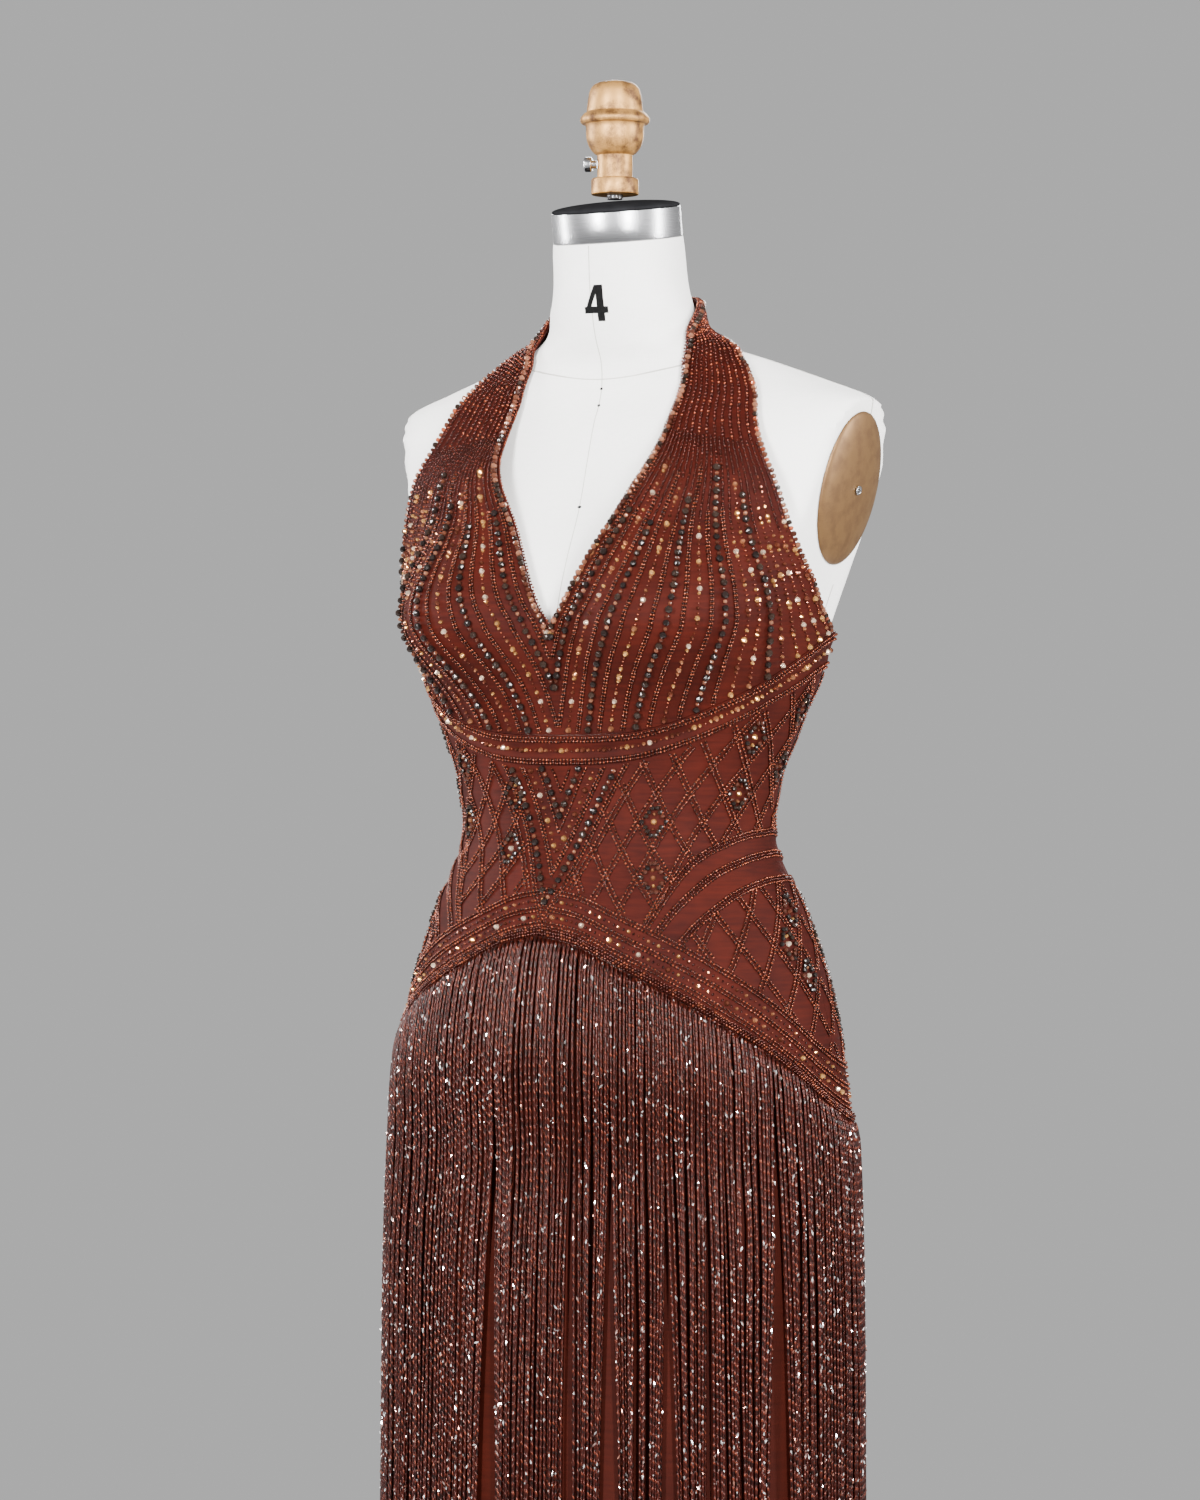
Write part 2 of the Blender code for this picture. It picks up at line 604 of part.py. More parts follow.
def build_stand(finishes, cap_top, folder):
    """Rod, finial and set screw over the neck, and board, pole and base under the form."""
    rod_foot = cap_top.z + 0.0012
    rod_top = FINIAL_FOOT - GAP
    rod_profile = ((0.0, rod_top), (ROD_RADIUS, rod_top), (ROD_RADIUS, rod_foot), (0.0, rod_foot))
    turned_piece("neck_rod", rod_profile, finishes["steel"], folder)
    turned_piece("finial", FINIAL_PROFILE, finishes["gold"], folder)
    screw = turned_piece("finial_screw", SET_SCREW_PROFILE, finishes["steel"], folder, 16)
    lay_down = Matrix.Rotation(SET_SCREW_TURN, 4, "Z") @ Matrix.Rotation(math.pi / 2, 4, "Y")
    screw.matrix_world = Matrix.Translation((0, 0, SET_SCREW_HEIGHT)) @ lay_down

    foot = FORM_SECTIONS[0]
    board_top = foot.height - GAP
    board_foot = board_top - BOARD_HEIGHT
    bpy.ops.mesh.primitive_cylinder_add(vertices=ROUND_STEPS, radius=1.0, depth=BOARD_HEIGHT,
                                        location=(0, foot.middle, (board_top + board_foot) / 2))
    board = bpy.context.object
    board.name = "bottom_board"
    board.scale = (foot.half_width - BOARD_INSET, foot.half_depth - BOARD_INSET, 1)
    board.data.materials.append(finishes["board"])
    for holder in board.users_collection:
        holder.objects.unlink(board)
    folder.objects.link(board)

    pole_foot = BASE_HEIGHT + GAP
    pole_top = board_foot - GAP
    pole_profile = ((0.0, pole_top), (POLE_RADIUS, pole_top), (POLE_RADIUS, pole_foot), (0.0, pole_foot))
    turned_piece("pole", pole_profile, finishes["steel"], folder)
    turned_piece("base", BASE_PROFILE, finishes["iron"], folder, ROUND_STEPS)


def clear_scene():
    """Remove what the new scene holds."""
    for old in list(bpy.data.objects):
        bpy.data.objects.remove(old, do_unlink=True)


def main():
    """Build every piece in one collection."""
    clear_scene()
    folder = bpy.data.collections.new("evening_gown")
    bpy.context.scene.collection.children.link(folder)
    beaded = finish("beaded_cloth", RUST, 0.55, 0.1)
    lining = finish("underskirt_cloth", RUST, 0.7, 0.0)
    strands = finish("bead_fringe", DARK_RUST, 0.35, 0.2)
    canvas = finish("form_canvas", CANVAS, 0.8, 0.0)
    finishes = {
        "gold": finish("gold_paint", GOLD, 0.45, 0.7),
        "steel": finish("brushed_steel", STEEL, 0.3, 1.0),
        "black": finish("black_gloss", BLACK, 0.1, 0.0),
        "iron": finish("black_iron", IRON, 0.5, 0.6),
        "board": finish("board_wood", BOARD, 0.6, 0.0),
    }

    build_torso(canvas, folder)
    build_arm_plates(finishes["gold"], finishes["steel"], folder)
    cap_top = build_neck(finishes["steel"], finishes["black"], folder)
    build_stand(finishes, cap_top, folder)

    build_bodice(beaded, folder)
    band_rows = [band_row(share) for share, _ in BAND_RELIEF]
    build_all_round("band", band_rows, [relief for _, relief in BAND_RELIEF], beaded, folder)
    yoke_rows = [yoke_row(distance, 0.0) for distance, _ in YOKE_EDGE_RELIEF]
    yoke_reliefs = [relief for _, relief in YOKE_EDGE_RELIEF] + [0.0] * YOKE_UPPER_STEPS
    border = YOKE_EDGE_RELIEF[-1][0]
    yoke_rows += [yoke_row(border, step / YOKE_UPPER_STEPS) for step in range(1, YOKE_UPPER_STEPS + 1)]
    build_all_round("yoke", yoke_rows, yoke_reliefs, beaded, folder)
    skirt_rows = [skirt_row(level) for level in reversed(SKIRT_LEVELS)]
    build_all_round("skirt", skirt_rows, [0.0] * len(skirt_rows), lining, folder)
    build_fringe("fringe_front", -SIDE, SIDE, FRONT_LOCKS, strands, folder)
    build_fringe("fringe_back_left", SIDE, BACK, BACK_LOCKS, strands, folder)
    build_fringe("fringe_back_right", -BACK, -SIDE, BACK_LOCKS, strands, folder)


main()
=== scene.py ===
"""The looks of a beaded halter gown with a fringed skirt, on a dress form with its stand.

Metres, +Z up. The gown faces -Y, and the wearer's left is +X. A place on the body is an angle
round it, 0 at the centre front, and a height.
"""

import logging
import math
from dataclasses import dataclass
from enum import Enum
from typing import Callable, NamedTuple, Optional, Sequence, Union

import bmesh
import bpy
import numpy as np
from mathutils import Matrix, Vector


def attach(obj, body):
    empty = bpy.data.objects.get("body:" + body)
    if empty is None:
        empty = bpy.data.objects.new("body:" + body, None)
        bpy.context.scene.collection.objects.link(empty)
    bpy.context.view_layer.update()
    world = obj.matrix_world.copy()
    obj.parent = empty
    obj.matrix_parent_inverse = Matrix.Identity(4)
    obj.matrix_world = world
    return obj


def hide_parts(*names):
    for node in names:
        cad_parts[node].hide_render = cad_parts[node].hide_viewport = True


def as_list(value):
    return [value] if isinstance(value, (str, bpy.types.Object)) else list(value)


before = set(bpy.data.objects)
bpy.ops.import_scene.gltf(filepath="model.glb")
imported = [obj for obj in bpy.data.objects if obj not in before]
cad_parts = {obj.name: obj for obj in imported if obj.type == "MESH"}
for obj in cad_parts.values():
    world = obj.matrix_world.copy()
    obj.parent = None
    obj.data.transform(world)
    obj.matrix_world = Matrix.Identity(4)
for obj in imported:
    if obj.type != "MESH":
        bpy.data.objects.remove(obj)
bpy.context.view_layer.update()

logging.basicConfig(level=logging.INFO, format="%(message)s")
LOG = logging.getLogger("gown")

BODY = "root"
FORM_BODY = "form_canvas_body"
Array = np.ndarray
Material = bpy.types.Material
Mesh = bpy.types.Mesh
Object = bpy.types.Object
Socket = bpy.types.NodeSocket
Triple = tuple[float, float, float]
Number = Union[float, Array]
Height = Callable[[Array], Array]
Profile = Sequence[tuple[float, float]]

# Sizes of the cloth
GAP = 0.0003  # between pieces
EASE = 0.0026  # from the body to the cloth's inside
CLOTH_TOP = 0.0044  # from the body to the cloth's outside
SEAM_ANGLE = 0.0026  # radians between two panels
SIDE = math.radians(97)  # the side seams
BACK = math.pi  # the centre back
PATTERN_RADIUS = 0.15  # metres on the pattern for each radian round the body


class Section(NamedTuple):
    """One level cut through the body: half sizes, middle, and 2 for an ellipse or more if squarer."""

    height: float
    half_width: float
    half_depth: float
    middle: float
    squareness: float


class Station(NamedTuple):
    """One line across half the bodice, from its neck edge to its armhole edge."""

    neck_degrees: float
    neck_height: float
    arm_degrees: float
    arm_height: float


class Mound(NamedTuple):
    """A smooth swelling of the skin on each side of the centre front."""

    angle: float
    height: float
    rise: float
    inner_spread: float
    outer_spread: float
    above: float
    below: float
    centre_rounding: float = 0.12

    def lift(self, angle: Array, height: Array) -> Array:
        """How far it lifts the skin.

        Args:
            angle: Angles.
            height: Heights.

        Returns:
            The lift at each place.
        """
        across = np.sqrt(angle ** 2 + self.centre_rounding ** 2) - self.angle
        spread = np.where(across > 0, self.outer_spread, self.inner_spread)
        up = height - self.height
        up = up / np.where(up > 0, self.above, self.below)
        return self.rise * np.exp(-(across / spread) ** 2 - up ** 2)


FORM_SECTIONS = tuple(Section(*row) for row in (
    (0.740, 0.1615, 0.1100, 0.0090, 2.0),
    (0.800, 0.1695, 0.1170, 0.0090, 2.1),
    (0.840, 0.1705, 0.1190, 0.0100, 2.1),
    (0.880, 0.1665, 0.1210, 0.0090, 2.1),
    (0.920, 0.1595, 0.1190, 0.0090, 2.1),
    (0.960, 0.1490, 0.1130, 0.0090, 2.1),
    (1.000, 0.1350, 0.1020, 0.0080, 2.1),
    (1.050, 0.1150, 0.0860, 0.0060, 2.1),
    (1.090, 0.1175, 0.0860, 0.0070, 2.1),
    (1.130, 0.1310, 0.0930, 0.0095, 2.1),
    (1.170, 0.1460, 0.0990, 0.0140, 2.2),
    (1.210, 0.1555, 0.1030, 0.0200, 2.3),
    (1.250, 0.1680, 0.0980, 0.0275, 2.4),
    (1.290, 0.1815, 0.0900, 0.0360, 2.5),
    (1.330, 0.1940, 0.0810, 0.0390, 2.5),
    (1.355, 0.1965, 0.0720, 0.0390, 2.4),
    (1.372, 0.1860, 0.0650, 0.0410, 2.2),
    (1.385, 0.1540, 0.0600, 0.0390, 1.9),
    (1.400, 0.1130, 0.0550, 0.0325, 1.6),
    (1.415, 0.0710, 0.0510, 0.0205, 1.7),
    (1.440, 0.0540, 0.0515, 0.0135, 2.0),
    (1.491, 0.0478, 0.0478, 0.0050, 2.0),
))
SKIRT_SECTIONS = tuple(Section(*row) for row in (
    (0.000, 0.2990, 0.2790, 0.0000, 2.0),
    (0.050, 0.2720, 0.2530, 0.0010, 2.0),
    (0.120, 0.2420, 0.2190, 0.0030, 2.0),
    (0.220, 0.2100, 0.1820, 0.0050, 2.0),
    (0.320, 0.1890, 0.1560, 0.0070, 2.0),
    (0.420, 0.1790, 0.1390, 0.0080, 2.0),
    (0.540, 0.1765, 0.1300, 0.0090, 2.0),
    (0.660, 0.1760, 0.1270, 0.0095, 2.0),
    (0.760, 0.1735, 0.1230, 0.0100, 2.1),
))
GOWN_SECTIONS = SKIRT_SECTIONS + FORM_SECTIONS[2:]
FORM_BUST = Mound(0.62, 1.215, 0.046, 0.40, 0.46, 0.075, 0.050)
GOWN_BUST = FORM_BUST._replace(inner_spread=0.49)
STRAP_BRIDGE = Mound(0.50, 1.313, 0.018, 9.0, 0.75, 0.036, 0.036)

BODICE_STATIONS = tuple(Station(*row) for row in (
    (0.0, 1.1275, 97.0, 1.2025),
    (0.0, 1.153, 92.5, 1.2095),
    (0.0, 1.178, 88.0, 1.216),
    (0.0, 1.203, 84.0, 1.222),
    (6.0, 1.222, 78.5, 1.235),
    (15.0, 1.262, 71.0, 1.257),
    (24.5, 1.301, 65.0, 1.288),
    (36.5, 1.341, 61.5, 1.330),
    (48.0, 1.380, 65.5, 1.370),
    (56.0, 1.400, 72.5, 1.392),
    (70.0, 1.417, 82.0, 1.406),
    (90.0, 1.436, 97.0, 1.416),
    (120.0, 1.447, 122.0, 1.424),
    (150.0, 1.450, 150.0, 1.428),
    (180.0, 1.451, 180.0, 1.429),
))
LAST_STATION = len(BODICE_STATIONS) - 1
POINT_STATION = 3  # where the neckline comes to its point
STRAP_END = 179.78  # degrees

# Cut edges: degrees from the centre front, and height
BAND_TOP = (
    (0, 1.1270), (20, 1.1280), (37, 1.1320), (48, 1.1395),
    (58, 1.1500), (68, 1.1630), (80, 1.1820), (97, 1.2020),
    (112, 1.2040), (130, 1.1950), (155, 1.1800), (180, 1.1740),
)
BAND_FOOT = (
    (0, 1.1055), (20, 1.1065), (37, 1.1110), (48, 1.1180),
    (58, 1.1270), (68, 1.1390), (80, 1.1560), (97, 1.1740),
    (112, 1.1760), (130, 1.1670), (155, 1.1520), (180, 1.1460),
)
YOKE_FOOT = (
    (0, 0.9820), (16, 0.9750), (30, 0.9610), (43, 0.9460),
    (53, 0.9320), (61, 0.9190), (70, 0.9030), (79, 0.8840),
    (88, 0.8640), (97, 0.8510), (110, 0.8450), (125, 0.8540),
    (140, 0.8740), (155, 0.8980), (168, 0.9130), (180, 0.9180),
)
# Relief: place across the band or above the yoke's foot, and rise
BAND_RELIEF = ((0.0, 0.0006), (0.18, 0.0011), (0.5, 0.0), (0.82, 0.0011), (1.0, 0.0006))
YOKE_EDGE_RELIEF = ((0.0, 0.0014), (0.0035, 0.0022), (0.0075, 0.0008), (0.034, 0.0006))


def hermite(at: Number, places: Sequence[float], values: Sequence[float]) -> Array:
    """Read a smooth curve through values given at rising places.

    Args:
        at: Where to read it.
        places: Rising places.
        values: The value at each place.

    Returns:
        The curve's values.
    """
    places = np.asarray(places, float)
    values = np.asarray(values, float)
    slopes = np.gradient(values, places)
    index = np.clip(np.searchsorted(places, at) - 1, 0, len(places) - 2)
    step = places[index + 1] - places[index]
    t = np.clip((at - places[index]) / step, 0.0, 1.0)
    start = (2 * t ** 3 - 3 * t ** 2 + 1) * values[index]
    start += (t ** 3 - 2 * t ** 2 + t) * step * slopes[index]
    end = (-2 * t ** 3 + 3 * t ** 2) * values[index + 1]
    end += (t ** 3 - t ** 2) * step * slopes[index + 1]
    return start + end


def smooth_step(value: Number) -> Array:
    """Ease from 0 to 1."""
    value = np.clip(value, 0.0, 1.0)
    return value * value * (3 - 2 * value)


def edge_height(edge: Profile, angle: Number) -> Array:
    """Height of a cut edge at a pattern angle."""
    return hermite(np.degrees(np.abs(angle)), *zip(*edge))


def unit(vectors: Array) -> Array:
    """The same directions, each one unit long."""
    return vectors / (np.linalg.norm(vectors, axis=-1, keepdims=True) + 1e-30)


@dataclass(frozen=True)
class Figure:
    """The body under the gown, and the cloth's place above it."""

    hip_turn: float = math.radians(-4)
    turn_top: float = 1.12  # the hips are turned below this height,
    turn_full: float = 0.98  # fully from here down,
    turn_leaves: float = 0.60  # and less and less from here to the floor
    flute_count: int = 8
    flute_depth: float = 0.006
    flute_start: float = 0.45
    probe_angle: float = 0.01  # steps that find the way out from the skin
    probe_height: float = 0.002

    def skin(self, angle: Array, height: Array, sections: Sequence[Section],
             mounds: Sequence[Mound]) -> Array:
        """Points on a body given by its sections, with mounds on it.

        Args:
            angle: Angles.
            height: Heights.
            sections: The body's sections.
            mounds: Its mounds.

        Returns:
            The points.
        """
        heights, *columns = zip(*sections)
        half_width, half_depth, middle, power = (
            hermite(height, heights, column) for column in columns)
        across = np.abs(np.sin(angle)) / half_width
        along = np.abs(np.cos(angle)) / half_depth
        radius = (across ** power + along ** power) ** (-1 / power)
        radius = radius + sum(mound.lift(angle, height) for mound in mounds)
        return np.stack([radius * np.sin(angle), middle - radius * np.cos(angle), height], -1)

    def form(self, angle: Number, height: Number) -> Array:
        """Points on the dress form."""
        angle, height = np.broadcast_arrays(np.asarray(angle, float), np.asarray(height, float))
        return self.skin(angle, height, FORM_SECTIONS, [FORM_BUST])

    def gown(self, angle: Array, height: Array) -> Array:
        """Points where the gown would lie with no ease."""
        return self.skin(angle, height, GOWN_SECTIONS, [GOWN_BUST, STRAP_BRIDGE])

    def turned(self, angle: Array, height: Array) -> Array:
        """Angle on the form of a pattern angle: the hips of the gown sit a little turned.

        Args:
            angle: Angles.
            height: Heights.

        Returns:
            Angles on the form.
        """
        upper = smooth_step((self.turn_top - height) / (self.turn_top - self.turn_full))
        lower = smooth_step(height / self.turn_leaves)
        return angle + self.hip_turn * upper * lower

    def flute(self, angle: Array, height: Array) -> Array:
        """Soft waves that grow towards the hem."""
        grown = np.clip(1 - height / self.flute_start, 0.0, 1.0) ** 1.5
        return self.flute_depth * grown * np.cos(self.flute_count * angle)

    def place(self, angle: Number, height: Number, lift: Number) -> tuple[Array, Array]:
        """Points at a lift above the body, and the way out from it there.

        Args:
            angle: Pattern angles.
            height: Heights.
            lift: Distance from the body's skin.

        Returns:
            The points and the outward normals.
        """
        angle, height = np.broadcast_arrays(np.asarray(angle, float), np.asarray(height, float))
        angle = self.turned(angle, height)
        turn, climb = self.probe_angle, self.probe_height
        round_it = self.gown(angle + turn, height) - self.gown(angle - turn, height)
        up_it = self.gown(angle, height + climb) - self.gown(angle, height - climb)
        normal = unit(np.cross(round_it, up_it))
        moved = np.asarray(lift + self.flute(angle, height))
        return self.gown(angle, height) + normal * moved[..., None], normal

    def cloth(self, angle: Number, height: Number, lift: Number) -> Array:
        """Points at a lift above the body."""
        return self.place(angle, height, lift)[0]


FIGURE = Figure()


# Helpers for meshes and objects


def mesh_of(name: str, points: Array, faces: Array, smooth: bool = True) -> Mesh:
    """Make a mesh from arrays.

    Args:
        name: The mesh's name.
        points: One row of three numbers a point.
        faces: One row of point numbers a face, all with as many corners.
        smooth: Whether the faces are shaded smooth.

    Returns:
        The mesh.
    """
    mesh = bpy.data.meshes.new(name)
    mesh.from_pydata(points.tolist(), [], faces.tolist(), shade_flat=not smooth)
    mesh.update(calc_edges=True)
    mesh.validate()
    return mesh


def add_uv(mesh: Mesh, places: Array) -> None:
    """Give a mesh a UV map from one pair of numbers a point.

    Args:
        mesh: The mesh.
        places: A pair of numbers for each point.
    """
    corners = np.zeros(len(mesh.loops), np.int32)
    mesh.loops.foreach_get("vertex_index", corners)
    layer = mesh.uv_layers.new(name="pattern")
    layer.data.foreach_set("uv", np.ascontiguousarray(places[corners], np.float32).ravel())


def add_tint(mesh: Mesh, colours: Array) -> None:
    """Give each point of a mesh its colour.

    Args:
        mesh: The mesh.
        colours: A colour for each point.
    """
    full = np.ones((len(colours), 4), np.float32)
    full[:, :3] = colours
    layer = mesh.attributes.new("tint", "FLOAT_COLOR", "POINT")
    layer.data.foreach_set("color", full.ravel())


def placed(name: str, data: bpy.types.ID) -> Object:
    """Put data in the scene as a new object.

    Args:
        name: The object's name.
        data: Its mesh, light or camera.

    Returns:
        The object.
    """
    made = bpy.data.objects.new(name, data)
    bpy.context.scene.collection.objects.link(made)
    return made


def show(mesh: Mesh, material: Material, slot: Optional[str],
         replaces: Sequence[str] = ()) -> Object:
    """Put a mesh in the scene as a piece, with what dress() asks for."""
    return dress(placed(mesh.name, mesh), material, slot, replaces)


def dress(made: Object, material: Material, slot: Optional[str],
          replaces: Sequence[str] = ()) -> Object:
    """Give an object its finish and its place in the part.

    Args:
        made: The object.
        material: Its finish.
        slot: The record's material slot, or None; not used.
        replaces: The solids that it stands for.

    Returns:
        The object.
    """
    made.data.materials.clear()
    made.data.materials.append(material)
    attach(made, BODY)
    if replaces:
        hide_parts(*replaces)
    LOG.info("%s: %d faces", made.name, len(made.data.polygons))
    return made


def grid_faces(rows: int, columns: int, closed: bool = False) -> Array:
    """Four-cornered faces between the points of a grid.

    Args:
        rows: Rows of points.
        columns: Points in a row.
        closed: Whether the last column joins the first.

    Returns:
        The faces.
    """
    row, column = np.meshgrid(np.arange(rows - 1), np.arange(columns if closed else columns - 1),
                              indexing="ij")
    after = (column + 1) % columns
    low = row * columns
    high = low + columns
    return np.stack([low + column, low + after, high + after, high + column], -1).reshape(-1, 4)


def joined(name: str, grids: Sequence[Array], closed: bool = False) -> Mesh:
    """Make one mesh of some separate grids of points.

    Args:
        name: The mesh's name.
        grids: The grids.
        closed: Whether the last column joins the first.

    Returns:
        The mesh.
    """
    faces, start = [], 0
    for grid in grids:
        rows, columns = grid.shape[:2]
        faces.append(grid_faces(rows, columns, closed) + start)
        start += rows * columns
    points = np.concatenate([grid.reshape(-1, 3) for grid in grids])
    return mesh_of(name, points, np.concatenate(faces))


def wall(name: str, outside: Array, inside: Array, angle: Array, height: Array,
         open_rows: int = 0) -> Mesh:
    """A closed wall between two grids of points, rows going up and columns going round.

    Args:
        name: The mesh's name.
        outside: The outer grid.
        inside: The inner grid.
        angle: The pattern angle of each column or point.
        height: The height of each point.
        open_rows: How many cells of the first column keep no rim, for a mirror there.

    Returns:
        The mesh.
    """
    rows, columns = outside.shape[:2]
    faces = grid_faces(rows, columns)
    size = rows * columns
    number = np.arange(size).reshape(rows, columns)

    def rim(line: Array) -> Array:
        """Faces that join a line of outer points to the inner ones."""
        return np.stack([line[1:], line[:-1], line[:-1] + size, line[1:] + size], -1)

    rims = [rim(number[0]), rim(number[-1][::-1]), rim(number[open_rows:, 0][::-1]),
            rim(number[:, -1])]
    faces = np.concatenate([faces, faces[:, ::-1] + size, *rims])
    points = np.concatenate([outside.reshape(-1, 3), inside.reshape(-1, 3)])
    mesh = mesh_of(name, points, faces)
    uv = np.stack(np.broadcast_arrays(angle * PATTERN_RADIUS, height), -1).reshape(-1, 2)
    add_uv(mesh, np.concatenate([uv, uv]))
    mesh.set_sharp_from_angle(angle=math.radians(50))
    return mesh


class Cut(NamedTuple):
    """The flat size of a piece of cloth."""

    width: float
    length: float
    area: float


def cut_of(grid: Array, halves: int = 1) -> Cut:
    """The flat cut of a hung piece, from its grid of points.

    Args:
        grid: The piece's middle surface.
        halves: 2 where the grid is half of the piece.

    Returns:
        Its greatest width and length, and its area.
    """
    across = np.linalg.norm(np.diff(grid, axis=1), axis=-1)
    along = np.linalg.norm(np.diff(grid, axis=0), axis=-1)
    sides = np.cross(grid[1:, 1:] - grid[:-1, :-1], grid[1:, :-1] - grid[:-1, 1:])
    area = float(np.linalg.norm(sides, axis=-1).sum() / 2) * halves
    width = float(across.sum(axis=1).max()) * halves
    length = float(along.sum(axis=0).max())
    return Cut(width, length, min(area, width * length))


# Finishes


class Shader:
    """The node tree of one material, with short ways to add and join nodes."""

    def __init__(self, name: str) -> None:
        """Start a material with its Principled shader.

        Args:
            name: The material's name.
        """
        self.material = bpy.data.materials.new(name)
        self.material.use_nodes = True
        self.tree = self.material.node_tree
        self.surface = self.tree.nodes["Principled BSDF"]

    def feed(self, target: Socket, value: Union[float, Sequence[float], Socket]) -> None:
        """Give a socket its value, or join it to another socket.

        Args:
            target: The socket.
            value: A number, a colour, a vector, or the socket to join.
        """
        if isinstance(value, Socket):
            self.tree.links.new(value, target)
        elif target.type == "RGBA":
            target.default_value = (*value, 1.0)
        else:
            target.default_value = value

    def set(self, **values: Union[float, Triple, Socket]) -> None:
        """Feed the shader's own sockets, with the spaces in their names written as underscores."""
        for name, value in values.items():
            self.feed(self.surface.inputs[name.replace("_", " ")], value)

    def add(self, kind: str, **settings: object) -> bpy.types.Node:
        """Add a node, set its properties and feed its sockets by name.

        Args:
            kind: The end of the node's type.
            settings: Values of its properties and sockets.

        Returns:
            The node.
        """
        node = self.tree.nodes.new("ShaderNode" + kind)
        for name, value in settings.items():
            if hasattr(node, name):
                setattr(node, name, value)
            else:
                self.feed(node.inputs[name.replace("_", " ")], value)
        return node

    def mapped(self, output: str, scale: Triple = (1.0, 1.0, 1.0)) -> Socket:
        """Coordinates of one kind, scaled."""
        source = self.add("TexCoord").outputs[output]
        return self.add("Mapping", Vector=source, Scale=scale).outputs["Vector"]

    def noise(self, vector: Socket, scale: float, detail: float = 2.0) -> Socket:
        """A noise read at a vector."""
        return self.add("TexNoise", Vector=vector, Scale=scale, Detail=detail).outputs["Fac"]

    def math(self, operation: str, first: Socket, second: Union[float, Socket] = 0.0) -> Socket:
        """One sum on a value.

        Args:
            operation: The sum's name.
            first: The value.
            second: A number or another value.

        Returns:
            The sum.
        """
        node = self.add("Math", operation=operation)
        self.feed(node.inputs[0], first)
        self.feed(node.inputs[1], second)
        return node.outputs[0]

    def mixed(self, first: Socket, second: Socket, share: float = 0.5) -> Socket:
        """Two values added, the first at a share and the second at the rest."""
        rest = self.math("MULTIPLY", second, 1 - share)
        return self.math("ADD", self.math("MULTIPLY", first, share), rest)

    def ramp(self, value: Socket, stops: Sequence[tuple[float, Triple]]) -> Socket:
        """Colours along a value.

        Args:
            value: The value.
            stops: Places along it, each with its colour.

        Returns:
            The colour.
        """
        node = self.add("ValToRGB", Fac=value)
        stretch = node.color_ramp.elements
        stretch[0].position, stretch[-1].position = stops[0][0], stops[-1][0]
        stretch[0].color = (*stops[0][1], 1.0)
        stretch[-1].color = (*stops[-1][1], 1.0)
        for place, colour in stops[1:-1]:
            stretch.new(place).color = (*colour, 1.0)
        return node.outputs["Color"]

    def spread(self, value: Socket, low: float, high: float) -> Socket:
        """Bring a value from 0..1 to another range."""
        return self.add("MapRange", Value=value, To_Min=low, To_Max=high).outputs["Result"]

    def shade(self, colour: Socket, value: Socket, low: float, high: float) -> Socket:
        """A colour made lighter and darker by a value."""
        share = self.spread(value, low, high)
        return self.add("VectorMath", operation="SCALE", Vector=colour, Scale=share).outputs["Vector"]

    def bump(self, value: Socket, depth: float, strength: float = 1.0,
             under: Optional[Socket] = None) -> Socket:
        """Relief, over another relief if there is one.

        Args:
            value: Its heights.
            depth: Its depth in metres.
            strength: How much of it shows.
            under: The relief that it lies on.

        Returns:
            The surface's direction.
        """
        node = self.add("Bump", Height=value, Distance=depth, Strength=strength)
        if under is not None:
            self.feed(node.inputs["Normal"], under)
        return node.outputs["Normal"]


class Finish:
    """What all finishes share: a name, and a material that is painted by nodes."""

    name: str

    def paint(self, shader: Shader) -> None:
        """Add the nodes, which each kind of finish does in its own way."""
        raise NotImplementedError

    def material(self) -> Material:
        """Make the material.

        Returns:
            The material.
        """
        shader = Shader(self.name)
        self.paint(shader)
        return shader.material


@dataclass(frozen=True)
class CanvasFinish(Finish):
    """Off-white cotton canvas stretched over the form."""

    name: str = "form_canvas"
    light: Triple = (0.90, 0.885, 0.860)
    dark: Triple = (0.83, 0.812, 0.785)
    thread: float = 0.0007
    clouds: float = 14.0  # for each metre

    def paint(self, shader: Shader) -> None:
        """Paint warp and weft threads, a little cloudy.

        Args:
            shader: The material's nodes.
        """
        warp = shader.noise(shader.mapped("Object", (1.0, 1.0, 0.12)), 0.5 / self.thread)
        weft = shader.noise(shader.mapped("Object", (0.15, 0.15, 1.0)), 0.5 / self.thread)
        woven = shader.mixed(warp, weft)
        tone = shader.mixed(woven, shader.noise(shader.mapped("Object"), self.clouds))
        shader.set(Base_Color=shader.ramp(tone, ((0.35, self.dark), (0.62, self.light))),
                   Normal=shader.bump(woven, 0.00025, 0.5), Roughness=0.82, Sheen_Weight=0.15,
                   Sheen_Roughness=0.5)


@dataclass(frozen=True)
class CrepeFinish(Finish):
    """Crinkled silk of the gown, with fine ribs across it."""

    name: str
    light: Triple
    dark: Triple
    rib: float = 0.0017
    rib_depth: float = 0.00022
    grain: float = 900.0  # for each metre
    clouds: float = 22.0

    def paint(self, shader: Shader) -> None:
        """Paint the ribs over a fine grain.

        Args:
            shader: The material's nodes.
        """
        cloth = shader.mapped("UV")
        ribs = shader.noise(shader.mapped("UV", (0.10, 1.0, 1.0)), 0.6 / self.rib)
        tone = shader.mixed(ribs, shader.noise(cloth, self.clouds))
        fine = shader.bump(shader.noise(cloth, self.grain), 0.0001, 0.4)
        shader.set(Base_Color=shader.ramp(tone, ((0.34, self.dark), (0.64, self.light))),
                   Normal=shader.bump(ribs, self.rib_depth, 0.7, fine), Roughness=0.7,
                   Specular_IOR_Level=0.08)


